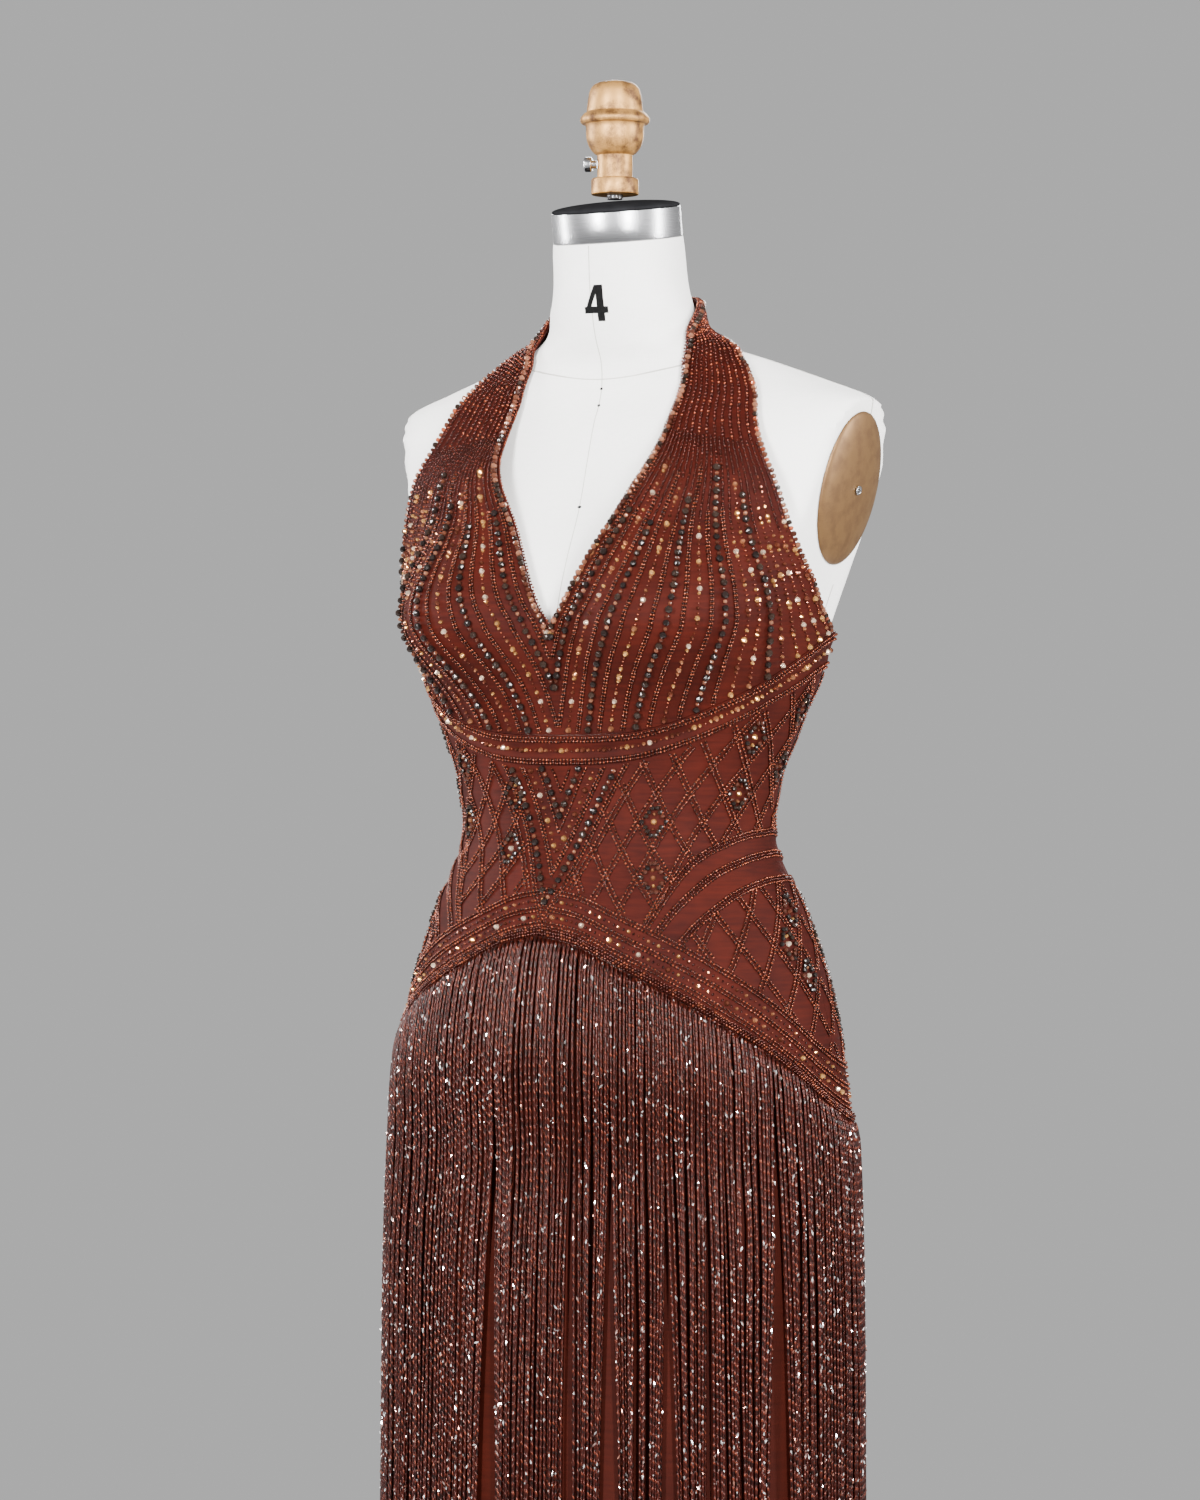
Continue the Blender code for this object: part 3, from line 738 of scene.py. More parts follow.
@dataclass(frozen=True)
class BeadFinish(Finish):
    """Glass beads, each with its own colour."""

    name: str
    metal: float
    roughness: float
    specular: float
    streaks: float = 700.0  # for each metre

    def paint(self, shader: Shader) -> None:
        """Paint each bead in its tint, with faint streaks.

        Args:
            shader: The material's nodes.
        """
        tint = shader.add("Attribute", attribute_name="tint").outputs["Color"]
        streaks = shader.noise(shader.mapped("Object"), self.streaks)
        shader.set(Base_Color=shader.shade(tint, streaks, 0.75, 1.25), Metallic=self.metal,
                   Roughness=self.roughness, Specular_IOR_Level=self.specular)


@dataclass(frozen=True)
class StrandFinish(Finish):
    """Twisted strands of seed beads, read along each strand by the UV map."""

    name: str = "bead_fringe"
    deep_and_groove_shade: Triple = (0.008, 0.0015, 0.0009)
    rust: Triple = (0.0360, 0.0046, 0.0022)
    copper_and_crest_highlight: Triple = (0.1350, 0.0285, 0.0135)
    bead: float = 0.0021
    turn: int = 3  # beads in a whole twist
    by_chance: float = 0.62  # the rest of the tone follows the twist's relief: painted shade in its grooves, painted highlight on its crests

    def paint(self, shader: Shader) -> None:
        """Paint beads that run round the strand in a twist, each with a tone of its own, with painted
        shade in the twist's grooves and a painted highlight on its crests.

        Args:
            shader: The material's nodes.
        """
        parts = shader.add("SeparateXYZ", Vector=shader.add("TexCoord").outputs["UV"])
        round_it, along = parts.outputs["X"], parts.outputs["Y"]
        twist = shader.math("ADD", shader.math("DIVIDE", along, self.turn * self.bead), round_it)
        wave = shader.math("SINE", shader.math("MULTIPLY", twist, 2 * math.pi))
        wave = shader.spread(wave, 0.0, 1.0)
        bead = shader.math("FLOOR", shader.math("DIVIDE", along, self.bead))
        half = shader.math("FLOOR", shader.math("MULTIPLY", round_it, 2.0))
        cell = shader.add("CombineXYZ", X=bead, Y=half).outputs["Vector"]
        chance = shader.add("TexWhiteNoise", noise_dimensions="3D", Vector=cell).outputs["Value"]
        # Each bead's own tone at random, darkened in the twist's grooves as painted shade and lightened on
        # its crests as painted highlight
        stops = ((0.12, self.deep_and_groove_shade), (0.45, self.rust), (0.74, self.rust), (0.90, self.copper_and_crest_highlight))
        shader.set(Base_Color=shader.ramp(shader.mixed(chance, wave, self.by_chance), stops),
                   Normal=shader.bump(wave, 0.0005, 0.8), Roughness=0.30, Metallic=0.40,
                   Specular_IOR_Level=0.25)


@dataclass(frozen=True)
class GoldPaintFinish(Finish):
    """Brushed gold paint, darker where it has worn or gathered."""

    name: str
    light: Triple = (0.450, 0.228, 0.060)
    dark: Triple = (0.085, 0.034, 0.010)
    lumps: float = 0.0005

    def paint(self, shader: Shader) -> None:
        """Paint worn patches and a fine grain.

        Args:
            shader: The material's nodes.
        """
        base = shader.mapped("Object")
        patches = shader.noise(base, 90.0, 6.0)
        grain = shader.noise(base, 1400.0)
        stops = ((0.38, self.dark), (0.56, self.light))
        fine = shader.bump(grain, 0.0001, 0.4)
        shader.set(Base_Color=shader.ramp(shader.mixed(patches, grain, 0.75), stops),
                   Roughness=shader.spread(patches, 0.60, 0.36),
                   Normal=shader.bump(patches, self.lumps, 0.8, fine), Metallic=0.60)


@dataclass(frozen=True)
class SteelFinish(Finish):
    """Bare steel with fine brushed lines."""

    name: str
    lines: Triple
    roughness: float = 0.26
    anisotropy: float = 0.0
    light: Triple = (0.46, 0.46, 0.47)
    dark: Triple = (0.28, 0.28, 0.29)

    def paint(self, shader: Shader) -> None:
        """Paint the brushed lines.

        Args:
            shader: The material's nodes.
        """
        brushed = shader.noise(shader.mapped("Object", self.lines), 60.0, 4.0)
        tangent = shader.add("Tangent", direction_type="RADIAL", axis="Z").outputs["Tangent"]
        shader.set(Base_Color=shader.ramp(brushed, ((0.3, self.dark), (0.7, self.light))),
                   Roughness=shader.spread(brushed, self.roughness + 0.07, self.roughness - 0.07),
                   Normal=shader.bump(brushed, 0.00004, 0.6), Tangent=tangent, Metallic=1.0,
                   Anisotropic=self.anisotropy)


@dataclass(frozen=True)
class SpeckledFinish(Finish):
    """A painted or moulded surface with a fine grain."""

    name: str
    light: Triple
    dark: Triple
    grain: float
    depth: float
    roughness: float
    metal: float = 0.0
    specular: float = 0.5
    stretch: Triple = (1.0, 1.0, 1.0)

    def paint(self, shader: Shader) -> None:
        """Paint the specks.

        Args:
            shader: The material's nodes.
        """
        specks = shader.noise(shader.mapped("Object", self.stretch), 1 / self.grain, 5.0)
        shader.set(Base_Color=shader.ramp(specks, ((0.35, self.dark), (0.65, self.light))),
                   Roughness=shader.spread(specks, self.roughness + 0.08, self.roughness - 0.08),
                   Normal=shader.bump(specks, self.depth, 0.6), Metallic=self.metal,
                   Specular_IOR_Level=self.specular)


# Beads


class Shape(Enum):
    """The low, repeated shapes that beads are made of."""

    SEED = "seed"
    FACETED = "faceted"
    STONE = "stone"


Finishes = dict[Shape, Material]


class Bead(NamedTuple):
    """One kind of bead: its shape, length along the row, breadth, height and colours."""

    shape: Shape
    length: float
    breadth: float
    height: float
    colours: tuple[Triple, ...]


Kinds = Union[Bead, Sequence[Bead]]

COPPER = ((0.260, 0.059, 0.025), (0.155, 0.033, 0.014), (0.086, 0.0175, 0.0076))
# Near-black tones for the flat beads laid between and beside the seeds: partly dark thread and gaps,
# partly painted shadow that outlines each row.
THREAD_AND_SHADOW = ((0.018, 0.0038, 0.0022), (0.030, 0.0060, 0.0034))
RUSTY = ((0.102, 0.017, 0.0085), (0.074, 0.0118, 0.0062), (0.054, 0.0086, 0.0046))
DARK = ((0.010, 0.006, 0.005), (0.018, 0.010, 0.007))
SMOKE = ((0.104, 0.034, 0.018), (0.180, 0.072, 0.040), (0.048, 0.014, 0.008))
SPARKLE = ((0.80, 0.58, 0.42), (0.60, 0.30, 0.10), (0.38, 0.15, 0.07), (0.14, 0.040, 0.022))
SILVER = ((0.95, 0.93, 0.92), (0.84, 0.78, 0.76), (0.55, 0.36, 0.32), (0.32, 0.14, 0.10))

SEED_BEAD = Bead(Shape.SEED, 0.0019, 0.0021, 0.0020, COPPER)
# Flat near-black beads, broader than the seeds beside them: dark thread and gaps, and painted shadow along
# both sides of each row.
THREAD_AND_SHADOW_BEAD = Bead(Shape.SEED, 0.0018, 0.0026, 0.0012, THREAD_AND_SHADOW)
STRAP_SEED = Bead(Shape.SEED, 0.0025, 0.0027, 0.0028, RUSTY + COPPER[:1])
STRAP_THREAD_AND_SHADOW = Bead(Shape.SEED, 0.0017, 0.0032, 0.0013, THREAD_AND_SHADOW)
FAN_SEED = Bead(Shape.SEED, 0.0024, 0.0022, 0.0021, RUSTY)
PICOT_SEED = Bead(Shape.SEED, 0.0022, 0.0020, 0.0022, COPPER)
SEED_ROW = (SEED_BEAD, THREAD_AND_SHADOW_BEAD)
SEED_PITCH = 0.00140
DARK_BEAD = Bead(Shape.FACETED, 0.0055, 0.0057, 0.0044, DARK)
SMOKE_BEAD = Bead(Shape.FACETED, 0.0033, 0.0034, 0.0032, SMOKE)
DARK_ROW = (DARK_BEAD, SMOKE_BEAD)
EDGE_BEAD = Bead(Shape.FACETED, 0.0044, 0.0047, 0.0043, SMOKE + DARK[1:])
ARM_BEAD = Bead(Shape.FACETED, 0.0038, 0.0042, 0.0042, SMOKE + COPPER[:2])
CLUSTER_BEAD = Bead(Shape.FACETED, 0.0038, 0.0038, 0.0032, DARK + SMOKE[2:])
STONE = Bead(Shape.STONE, 0.0043, 0.0043, 0.0026, SPARKLE)
SMALL_STONE = Bead(Shape.STONE, 0.0028, 0.0028, 0.0021, SPARKLE[1:])
GLINT = Bead(Shape.SEED, 0.0044, 0.0017, 0.0018, SILVER)
SMALL_GLINT = Bead(Shape.SEED, 0.0025, 0.0013, 0.0015, SILVER)


def template(shape: Shape) -> tuple[Array, Array]:
    """Points and triangles of a bead one unit long, broad and high, standing on the cloth.

    Args:
        shape: The bead's shape.

    Returns:
        The points and triangles.
    """
    if shape is Shape.SEED:
        points = [(-0.5, 0, 0.5), (0.5, 0, 0.5), (0, -0.5, 0.5), (0, 0.5, 0.5), (0, 0, 0), (0, 0, 1)]
        faces = [(1, 3, 5), (3, 0, 5), (0, 2, 5), (2, 1, 5), (3, 1, 4), (0, 3, 4), (2, 0, 4), (1, 2, 4)]
        return np.array(points, float), np.array(faces)
    rings = ((0.46, 0.26), (0.46, 0.70), (0.20, 0.98))
    if shape is Shape.STONE:
        rings = ((0.50, 0.01), (0.50, 0.30), (0.27, 1.0))
    sides = 6 if shape is Shape.FACETED else 7
    points = []
    for level, (radius, height) in enumerate(rings):
        for side in range(sides):
            turn = 2 * math.pi * (side + 0.5 * (level % 2)) / sides
            points.append((radius * math.cos(turn), radius * math.sin(turn), height))
    top = len(points)
    points += [(0.0, 0.0, rings[-1][1] + 0.02), (0.0, 0.0, 0.0)]
    faces = [((side + 1) % sides, side, top + 1) for side in range(sides)]
    for level in range(len(rings) - 1):
        lean = level % 2
        for side in range(sides):
            after = (side + 1) % sides
            low, high = level * sides, (level + 1) * sides
            faces.append((low + side, low + after, high + (after if lean else side)))
            faces.append((low + (side if lean else after), high + after, high + side))
    last = (len(rings) - 1) * sides
    faces += [(last + side, last + (side + 1) % sides, top) for side in range(sides)]
    return np.array(points, float), np.array(faces)


class BeadWork:
    """Beads of one cloth piece, gathered by shape and joined into a few meshes."""

    def __init__(self, seed: int) -> None:
        """Start with no beads, and a fixed seed for their small differences."""
        self.random = np.random.default_rng(seed)
        self.laid: dict[Shape, list[tuple[Array, ...]]] = {shape: [] for shape in Shape}

    def put(self, bead: Bead, places: Array, along: Array, out: Array,
            brighter: float = 1.0) -> None:
        """Set beads at given points.

        Args:
            bead: Their kind.
            places: Points on the cloth.
            along: The way of the row at each.
            out: The way out of the cloth at each.
            brighter: How much lighter than its colours a bead is.
        """
        count = len(places)
        if not count:
            return
        along = unit(along - out * (along * out).sum(-1, keepdims=True))
        swing = self.random.normal(0.0, 0.10, (count, 1))
        side = np.cross(out, along)
        turned = along * np.cos(swing) + side * np.sin(swing)
        size = np.array([bead.length, bead.breadth, bead.height])
        size = size * self.random.uniform(0.90, 1.08, (count, 1))
        colours = np.array(bead.colours)[self.random.integers(0, len(bead.colours), count)]
        colours = colours * self.random.uniform(0.75, 1.25, (count, 1)) * brighter
        nudged = places + side * self.random.normal(0.0, 0.00012, (count, 1))
        self.laid[bead.shape].append((nudged, turned, out, size, colours))

    def row(self, bead: Kinds, angle: Array, height: Array, pitch: float,
            lift: float = CLOTH_TOP, keep: Optional[Array] = None,
            shift: float = 0.0, brighter: float = 1.0) -> None:
        """Lay a row of beads along a line drawn on the pattern.

        Args:
            bead: One kind, or kinds that take turns.
            angle: Pattern angles along the line.
            height: Heights along it.
            pitch: Distance from one bead to the next.
            lift: Lift of the beads' foot above the body.
            keep: Which points of the line carry beads, or None for all.
            shift: Sideways distance on the cloth, to the line's left.
            brighter: How much lighter than its colours a bead is.
        """
        kinds = [bead] if isinstance(bead, Bead) else list(bead)
        line, normal = FIGURE.place(angle, height, lift)
        along = unit(np.gradient(line, axis=0))
        line = line + np.cross(normal, along) * shift
        run = np.concatenate([[0.0], np.cumsum(np.linalg.norm(np.diff(line, axis=0), axis=-1))])
        if run[-1] < pitch:
            return
        stops = np.arange(pitch / 2, run[-1], pitch)
        sat = np.searchsorted(run, stops) - 1
        if keep is not None:
            stops = stops[keep[sat] & keep[np.minimum(sat + 1, len(keep) - 1)]]

        def read(values: Array) -> Array:
            """Read values of the line at the beads' places."""
            return np.stack([np.interp(stops, run, values[:, axis]) for axis in range(3)], -1)

        places, ways, outs = read(line), read(along), unit(read(normal))
        for turn, kind in enumerate(kinds):
            mine = slice(turn, None, len(kinds))
            self.put(kind, places[mine], ways[mine], outs[mine], brighter)

    def cluster(self, angle: float, height: float, half_width: float, half_height: float) -> None:
        """Lay a lozenge of dark beads with lighter ones inside it.

        Args:
            angle: Angle of its middle.
            height: Height of its middle.
            half_width: Half its width.
            half_height: Half its height.
        """
        turns = np.linspace(0, 2 * math.pi, 15)[:-1]
        corner = np.abs(np.cos(turns)) + np.abs(np.sin(turns))
        across = np.cos(turns) / corner * half_width
        up = np.sin(turns) / corner * half_height
        spread = np.linalg.norm(FIGURE.cloth(angle, height, CLOTH_TOP)[:2])
        places, outs = FIGURE.place(angle + across / spread, height + up, CLOTH_TOP)
        ways = np.roll(places, -1, axis=0) - places
        self.put(CLUSTER_BEAD, places, ways, outs)
        for kind, rise in ((SMALL_STONE, (-0.45, 0.45)), (STONE, (0.0,))):
            rise = np.array(rise)
            places, outs = FIGURE.place(angle + 0 * rise, height + rise * half_height, CLOTH_TOP)
            self.put(kind, places, np.tile([0.0, 0.0, 1.0], (len(rise), 1)), outs)

    def build(self, name: str, finishes: Finishes) -> list[Object]:
        """Join the beads of each shape into one piece.

        Args:
            name: The start of the pieces' names.
            finishes: The material of each shape.

        Returns:
            The pieces.
        """
        made = []
        for shape, sets in self.laid.items():
            if not sets:
                continue
            places, along, out, size, colours = (np.concatenate(part) for part in zip(*sets))
            side = np.cross(out, along)
            points, faces = template(shape)
            grown = points[None] * size[:, None, :]
            corners = places[:, None] + grown[..., :1] * along[:, None]
            corners = corners + grown[..., 1:2] * side[:, None] + grown[..., 2:] * out[:, None]
            steps = np.arange(len(places))[:, None, None] * len(points)
            mesh = mesh_of(f"{name}_{shape.value}_beads", corners.reshape(-1, 3),
                           (faces[None] + steps).reshape(-1, 3), shape is Shape.SEED)
            add_tint(mesh, np.repeat(colours, len(points), axis=0))
            made.append(show(mesh, finishes[shape], "beaded_cloth"))
        return made


# Cloth


@dataclass(frozen=True)
class Panel:
    """One cut piece: its two upright edges and the solid that it stands for."""

    name: str
    start: float
    end: float
    columns: int

    def line(self, count: int, inset: float = 0.006) -> Array:
        """Pattern angles of a line of points from seam to seam, kept a little away from both."""
        return np.linspace(self.start + inset, self.end - inset, count)

    def angles(self) -> Array:
        """Pattern angles of its columns, just inside its seams."""
        return np.linspace(self.start + SEAM_ANGLE / 2, self.end - SEAM_ANGLE / 2, self.columns + 1)


def panels(name: str, front: int, back: int) -> tuple[Panel, ...]:
    """A front panel and two back ones that meet at the sides and the centre back.

    Args:
        name: The start of their names.
        front: Columns of the front one.
        back: Columns of a back one.

    Returns:
        The panels.
    """
    return (
        Panel(name + "_front", -SIDE, SIDE, front),
        Panel(name + "_back_left", SIDE, BACK, back),
        Panel(name + "_back_right", -BACK, -SIDE, back),
    )


@dataclass
class Shell:
    """A sheet of cloth built panel by panel from rows of heights."""

    panel: Panel
    rows: Sequence[Height]
    reliefs: Sequence[float]

    def build(self, material: Material, slot: str) -> tuple[Object, Cut]:
        """Build the panel's wall.

        Args:
            material: Its finish.
            slot: The record's material slot.

        Returns:
            The piece, and its flat cut.
        """
        angles = self.panel.angles()
        heights = np.stack([row(angles) for row in self.rows])
        lifts = CLOTH_TOP + np.array(self.reliefs)[:, None]
        outside = FIGURE.cloth(angles, heights, lifts)
        inside = FIGURE.cloth(angles, heights, EASE)
        mesh = wall(self.panel.name + "_cloth", outside, inside, angles, heights)
        return show(mesh, material, slot, [self.panel.name]), cut_of((outside + inside) / 2)


def between(low: Height, high: Height, share: float) -> Height:
    """A row at a share of the way from one height to another.

    Args:
        low: The lower height.
        high: The upper one.
        share: 0 for the lower and 1 for the upper.

    Returns:
        The row.
    """
    def height(angle: Array) -> Array:
        """Height of the row at an angle."""
        return low(angle) + (high(angle) - low(angle)) * share
    return height


def declare(piece: Object, cut: Cut, held: str, with_pieces: Sequence[Object] = ()) -> None:
    """Log the flat cut of a piece of cloth.

    Args:
        piece: The piece.
        cut: Its flat cut.
        held: How it is held; not used.
        with_pieces: What is sewn on it.
    """
    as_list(with_pieces)
    LOG.info("%s: cut %.3f x %.3f m, %.4f square metres", piece.name, *cut)


@dataclass
class Beaded:
    """What the beaded pieces share: the finishes of their cloth and of each bead shape."""

    cloth: Material
    beads: Finishes


@dataclass
class Bodice(Beaded):
    """The front with its two halter straps, and its rows of beads."""

    columns: int = 38
    station_steps: int = 11
    rows: int = 24
    falls: tuple[float, ...] = (0.0, -6.5, -12.0, -17.0)  # the neckline carried on below its point
    wide_until: float = 7.1  # place along the stations where every other row ends
    random_seed: int = 11
    fan_start: float = 6.0  # place along the stations where the close rows start,
    fan_wave: float = 0.6  # give or take this
    busy_from: float = 0.70  # nearer the armhole than this, most rows are stones
    busy_share: float = 0.75
    fan_pitch: float = 0.0016
    stone_pitch: float = 0.0036
    dark_pitch: float = 0.0045
    edge_pitch: float = 0.0043
    picot_pitch: float = 0.0025
    edge_shift: float = 0.0028  # inwards from the neckline
    picot_shift: float = 0.0007  # outwards from it
    arm_shift: float = 0.0012
    picot_drop: float = 0.0012  # below the top of the cloth
    arm_drop: float = 0.0024
    double: float = 0.0009  # from a pair's middle to each of its rows
    stone_row: tuple[Bead, ...] = (STONE, SEED_BEAD, SMALL_STONE, SEED_BEAD, SEED_BEAD, SMALL_STONE)

    def __post_init__(self) -> None:
        """Start with no beads laid."""
        self.work = BeadWork(self.random_seed)

    def columns_at(self, t: Array) -> list[Array]:
        """The four values of the stations at places along them."""
        return [hermite(t, np.arange(LAST_STATION + 1), column) for column in zip(*BODICE_STATIONS)]

    def sag(self, angle: Array, t: Array) -> Array:
        """How far the lines near the foot are bent to follow the band.

        Args:
            angle: Angles.
            t: Places along the stations.

        Returns:
            What is added to the heights.
        """
        line = BODICE_STATIONS[0]
        along = np.linspace(0.0, SIDE, 60)
        share = along / SIDE
        straight = line.neck_height + (line.arm_height - line.neck_height) * share
        bent = edge_height(BAND_TOP, along) + GAP - straight
        fade = np.clip(1 - t / (POINT_STATION + 1), 0.0, 1.0)
        return fade * np.interp(angle, along, bent)

    def spot(self, share: Number, t: Array) -> tuple[Array, Array, Array]:
        """Where a bead line runs: a share of the way from the neckline's run to the armhole.

        Args:
            share: 0 at the neckline and 1 at the armhole.
            t: Places along the stations.

        Returns:
            Angles, heights, and whether each place is on the cloth.
        """
        neck, neck_height, arm, arm_height = self.columns_at(t)
        neck = np.where(t < POINT_STATION, 0.0, neck)
        carried = np.interp(POINT_STATION - t, np.arange(len(self.falls)), self.falls)
        run = np.where(t < POINT_STATION, carried, neck)
        degrees = run + (np.minimum(arm, STRAP_END) - run) * share
        inside = (degrees > 0.4) & (degrees < STRAP_END)
        within = np.clip((degrees - neck) / np.maximum(arm - neck, 0.01), 0.0, 1.0)
        within = np.where(arm - neck < 0.5, share, within)
        angle = np.radians(np.clip(degrees, 0.0, STRAP_END))
        height = neck_height + (arm_height - neck_height) * within
        return angle, height + self.sag(angle, t), inside

    def build_cloth(self) -> tuple[Object, Cut]:
        """Build half of the cloth, then its mirror.

        Returns:
            The piece, and its flat cut.
        """
        t = np.linspace(0, LAST_STATION, LAST_STATION * self.station_steps + 1)
        neck, neck_height, arm, arm_height = self.columns_at(t)
        open_rows = POINT_STATION * self.station_steps
        neck = np.radians(np.clip(neck, 0.0, STRAP_END))
        arm = np.radians(np.clip(arm, 0.0, STRAP_END))
        neck[:open_rows + 1] = 0.0
        arm[0] = SIDE - SEAM_ANGLE / 2
        across = np.linspace(0.0, 1.0, self.columns + 1)
        angle = neck[:, None] + (arm - neck)[:, None] * across
        height = neck_height[:, None] + (arm_height - neck_height)[:, None] * across
        height += self.sag(angle, t[:, None])
        outside = FIGURE.cloth(angle, height, CLOTH_TOP)
        inside = FIGURE.cloth(angle, height, EASE)
        outside[:open_rows + 1, 0, 0] = 0.0
        inside[:open_rows + 1, 0, 0] = 0.0
        mesh = wall("bodice_cloth", outside, inside, angle, height, open_rows)
        made = show(mesh, self.cloth, "beaded_cloth", ["bodice_front"])
        mirror = made.modifiers.new("other_half", "MIRROR")
        mirror.merge_threshold = 0.00005
        apply_modifiers(made)
        return made, cut_of((outside + inside) / 2, halves=2)

    def string(self, kinds: Kinds, side: int, share: float, t: Array, pitch: float,
               shift: float = 0.0) -> None:
        """Lay a row of beads along a bead line.

        Args:
            kinds: The beads.
            side: 1 on the wearer's left and -1 on the right.
            share: 0 at the neckline and 1 at the armhole.
            t: Places along the stations.
            pitch: Distance from one bead to the next.
            shift: Sideways distance on the cloth.
        """
        angle, height, inside = self.spot(share, t)
        self.work.row(kinds, side * angle, height, pitch, keep=inside, shift=shift)

    def lay_rows(self) -> None:
        """Lay the fanned rows, which run close together on the straps and spread over the bust."""
        random = np.random.default_rng(self.random_seed)
        for side in (-1, 1):
            for index in range(self.rows):
                share = (index + 0.5) / self.rows
                kind = (index + 2) % 4
                start = self.fan_start + self.fan_wave * math.sin(index * 1.9)
                top = np.linspace(start, LAST_STATION, 700)
                low = np.linspace(0.06, start, 500)
                bust, strap = top[top < self.wide_until], top[top >= self.wide_until]
                self.string((FAN_SEED, THREAD_AND_SHADOW_BEAD), side, share, bust, self.fan_pitch)
                if index % 2 == 0:
                    self.string((STRAP_SEED, STRAP_THREAD_AND_SHADOW), side, share, strap, self.fan_pitch)
                busy = share > self.busy_from and random.random() < self.busy_share
                if kind == 0 and not busy:
                    self.string(DARK_ROW, side, share, low, self.dark_pitch)
                elif kind == 2 or busy:
                    self.string(self.stone_row, side, share, low, self.stone_pitch)
                else:
                    self.string(SEED_ROW, side, share, low, SEED_PITCH, self.double)
                    self.string(SEED_ROW, side, share, low, SEED_PITCH, -self.double)

    def lay_edges(self) -> None:
        """Lay the beads along the neckline and the armholes."""
        up = np.linspace(POINT_STATION, LAST_STATION, 1200)
        low = np.linspace(0.9, POINT_STATION, 300)
        arm_run = np.linspace(0.0, LAST_STATION, 1500)
        for side in (-1, 1):
            angle, height, _ = self.spot(0.0, up)
            inside = angle < math.radians(STRAP_END)
            self.work.row(EDGE_BEAD, side * angle, height, self.edge_pitch, keep=inside,
                          shift=-side * self.edge_shift)
            self.work.row(PICOT_SEED, side * angle, height, self.picot_pitch,
                          CLOTH_TOP - self.picot_drop, inside, side * self.picot_shift)
            self.string(DARK_ROW, side, 0.030, low, self.edge_pitch)
            angle, height, _ = self.spot(1.0, arm_run)
            inside = angle < math.radians(STRAP_END)
            self.work.row((ARM_BEAD, EDGE_BEAD), side * angle, height, self.edge_pitch,
                          CLOTH_TOP - self.arm_drop, inside, -side * self.arm_shift)

    def build(self) -> None:
        """Build the cloth and its beads."""
        piece, cut = self.build_cloth()
        self.lay_rows()
        self.lay_edges()
        declare(piece, cut, "draped", self.work.build("bodice", self.beads))


def apply_modifiers(made: Object) -> None:
    """Apply all the modifiers of an object.

    Args:
        made: The object.
    """
    deselect()
    made.select_set(True)
    bpy.context.view_layer.objects.active = made
    for modifier in list(made.modifiers):
        bpy.ops.object.modifier_apply(modifier=modifier.name)


def deselect() -> None:
    """Leave nothing selected."""
    bpy.ops.object.select_all(action="DESELECT")


@dataclass
class Band(Beaded):
    """The narrow band under the bust, with its seed rows and stones."""

    seed_rows: tuple[float, ...] = (0.07, 0.19, 0.81, 0.93)
    stone_row: float = 0.50
    stone_pitch: float = 0.0042
    random_seed: int = 30

    def height(self, share: float) -> Height:
        """A row across the band."""
        return between(lambda angle: edge_height(BAND_FOOT, angle) + GAP / 2,
                       lambda angle: edge_height(BAND_TOP, angle) - GAP / 2, share)

    def build(self) -> None:
        """Build the three panels and their beads."""
        shares = np.linspace(0.0, 1.0, 15)
        reliefs = np.interp(shares, *zip(*BAND_RELIEF))
        rows = [self.height(share) for share in shares]
        for number, panel in enumerate(panels("band", 110, 46)):
            piece, cut = Shell(panel, rows, reliefs).build(self.cloth, "beaded_cloth")
            work = BeadWork(self.random_seed + number)
            line = panel.line(900)
            for share in self.seed_rows:
                lift = CLOTH_TOP + float(np.interp(share, *zip(*BAND_RELIEF)))
                work.row(SEED_ROW, line, self.height(share)(line), SEED_PITCH, lift)
            pattern = (STONE, SMALL_STONE, SEED_BEAD, SMALL_STONE)
            work.row(pattern, line, self.height(self.stone_row)(line), self.stone_pitch)
            declare(piece, cut, "draped", work.build(panel.name, self.beads))


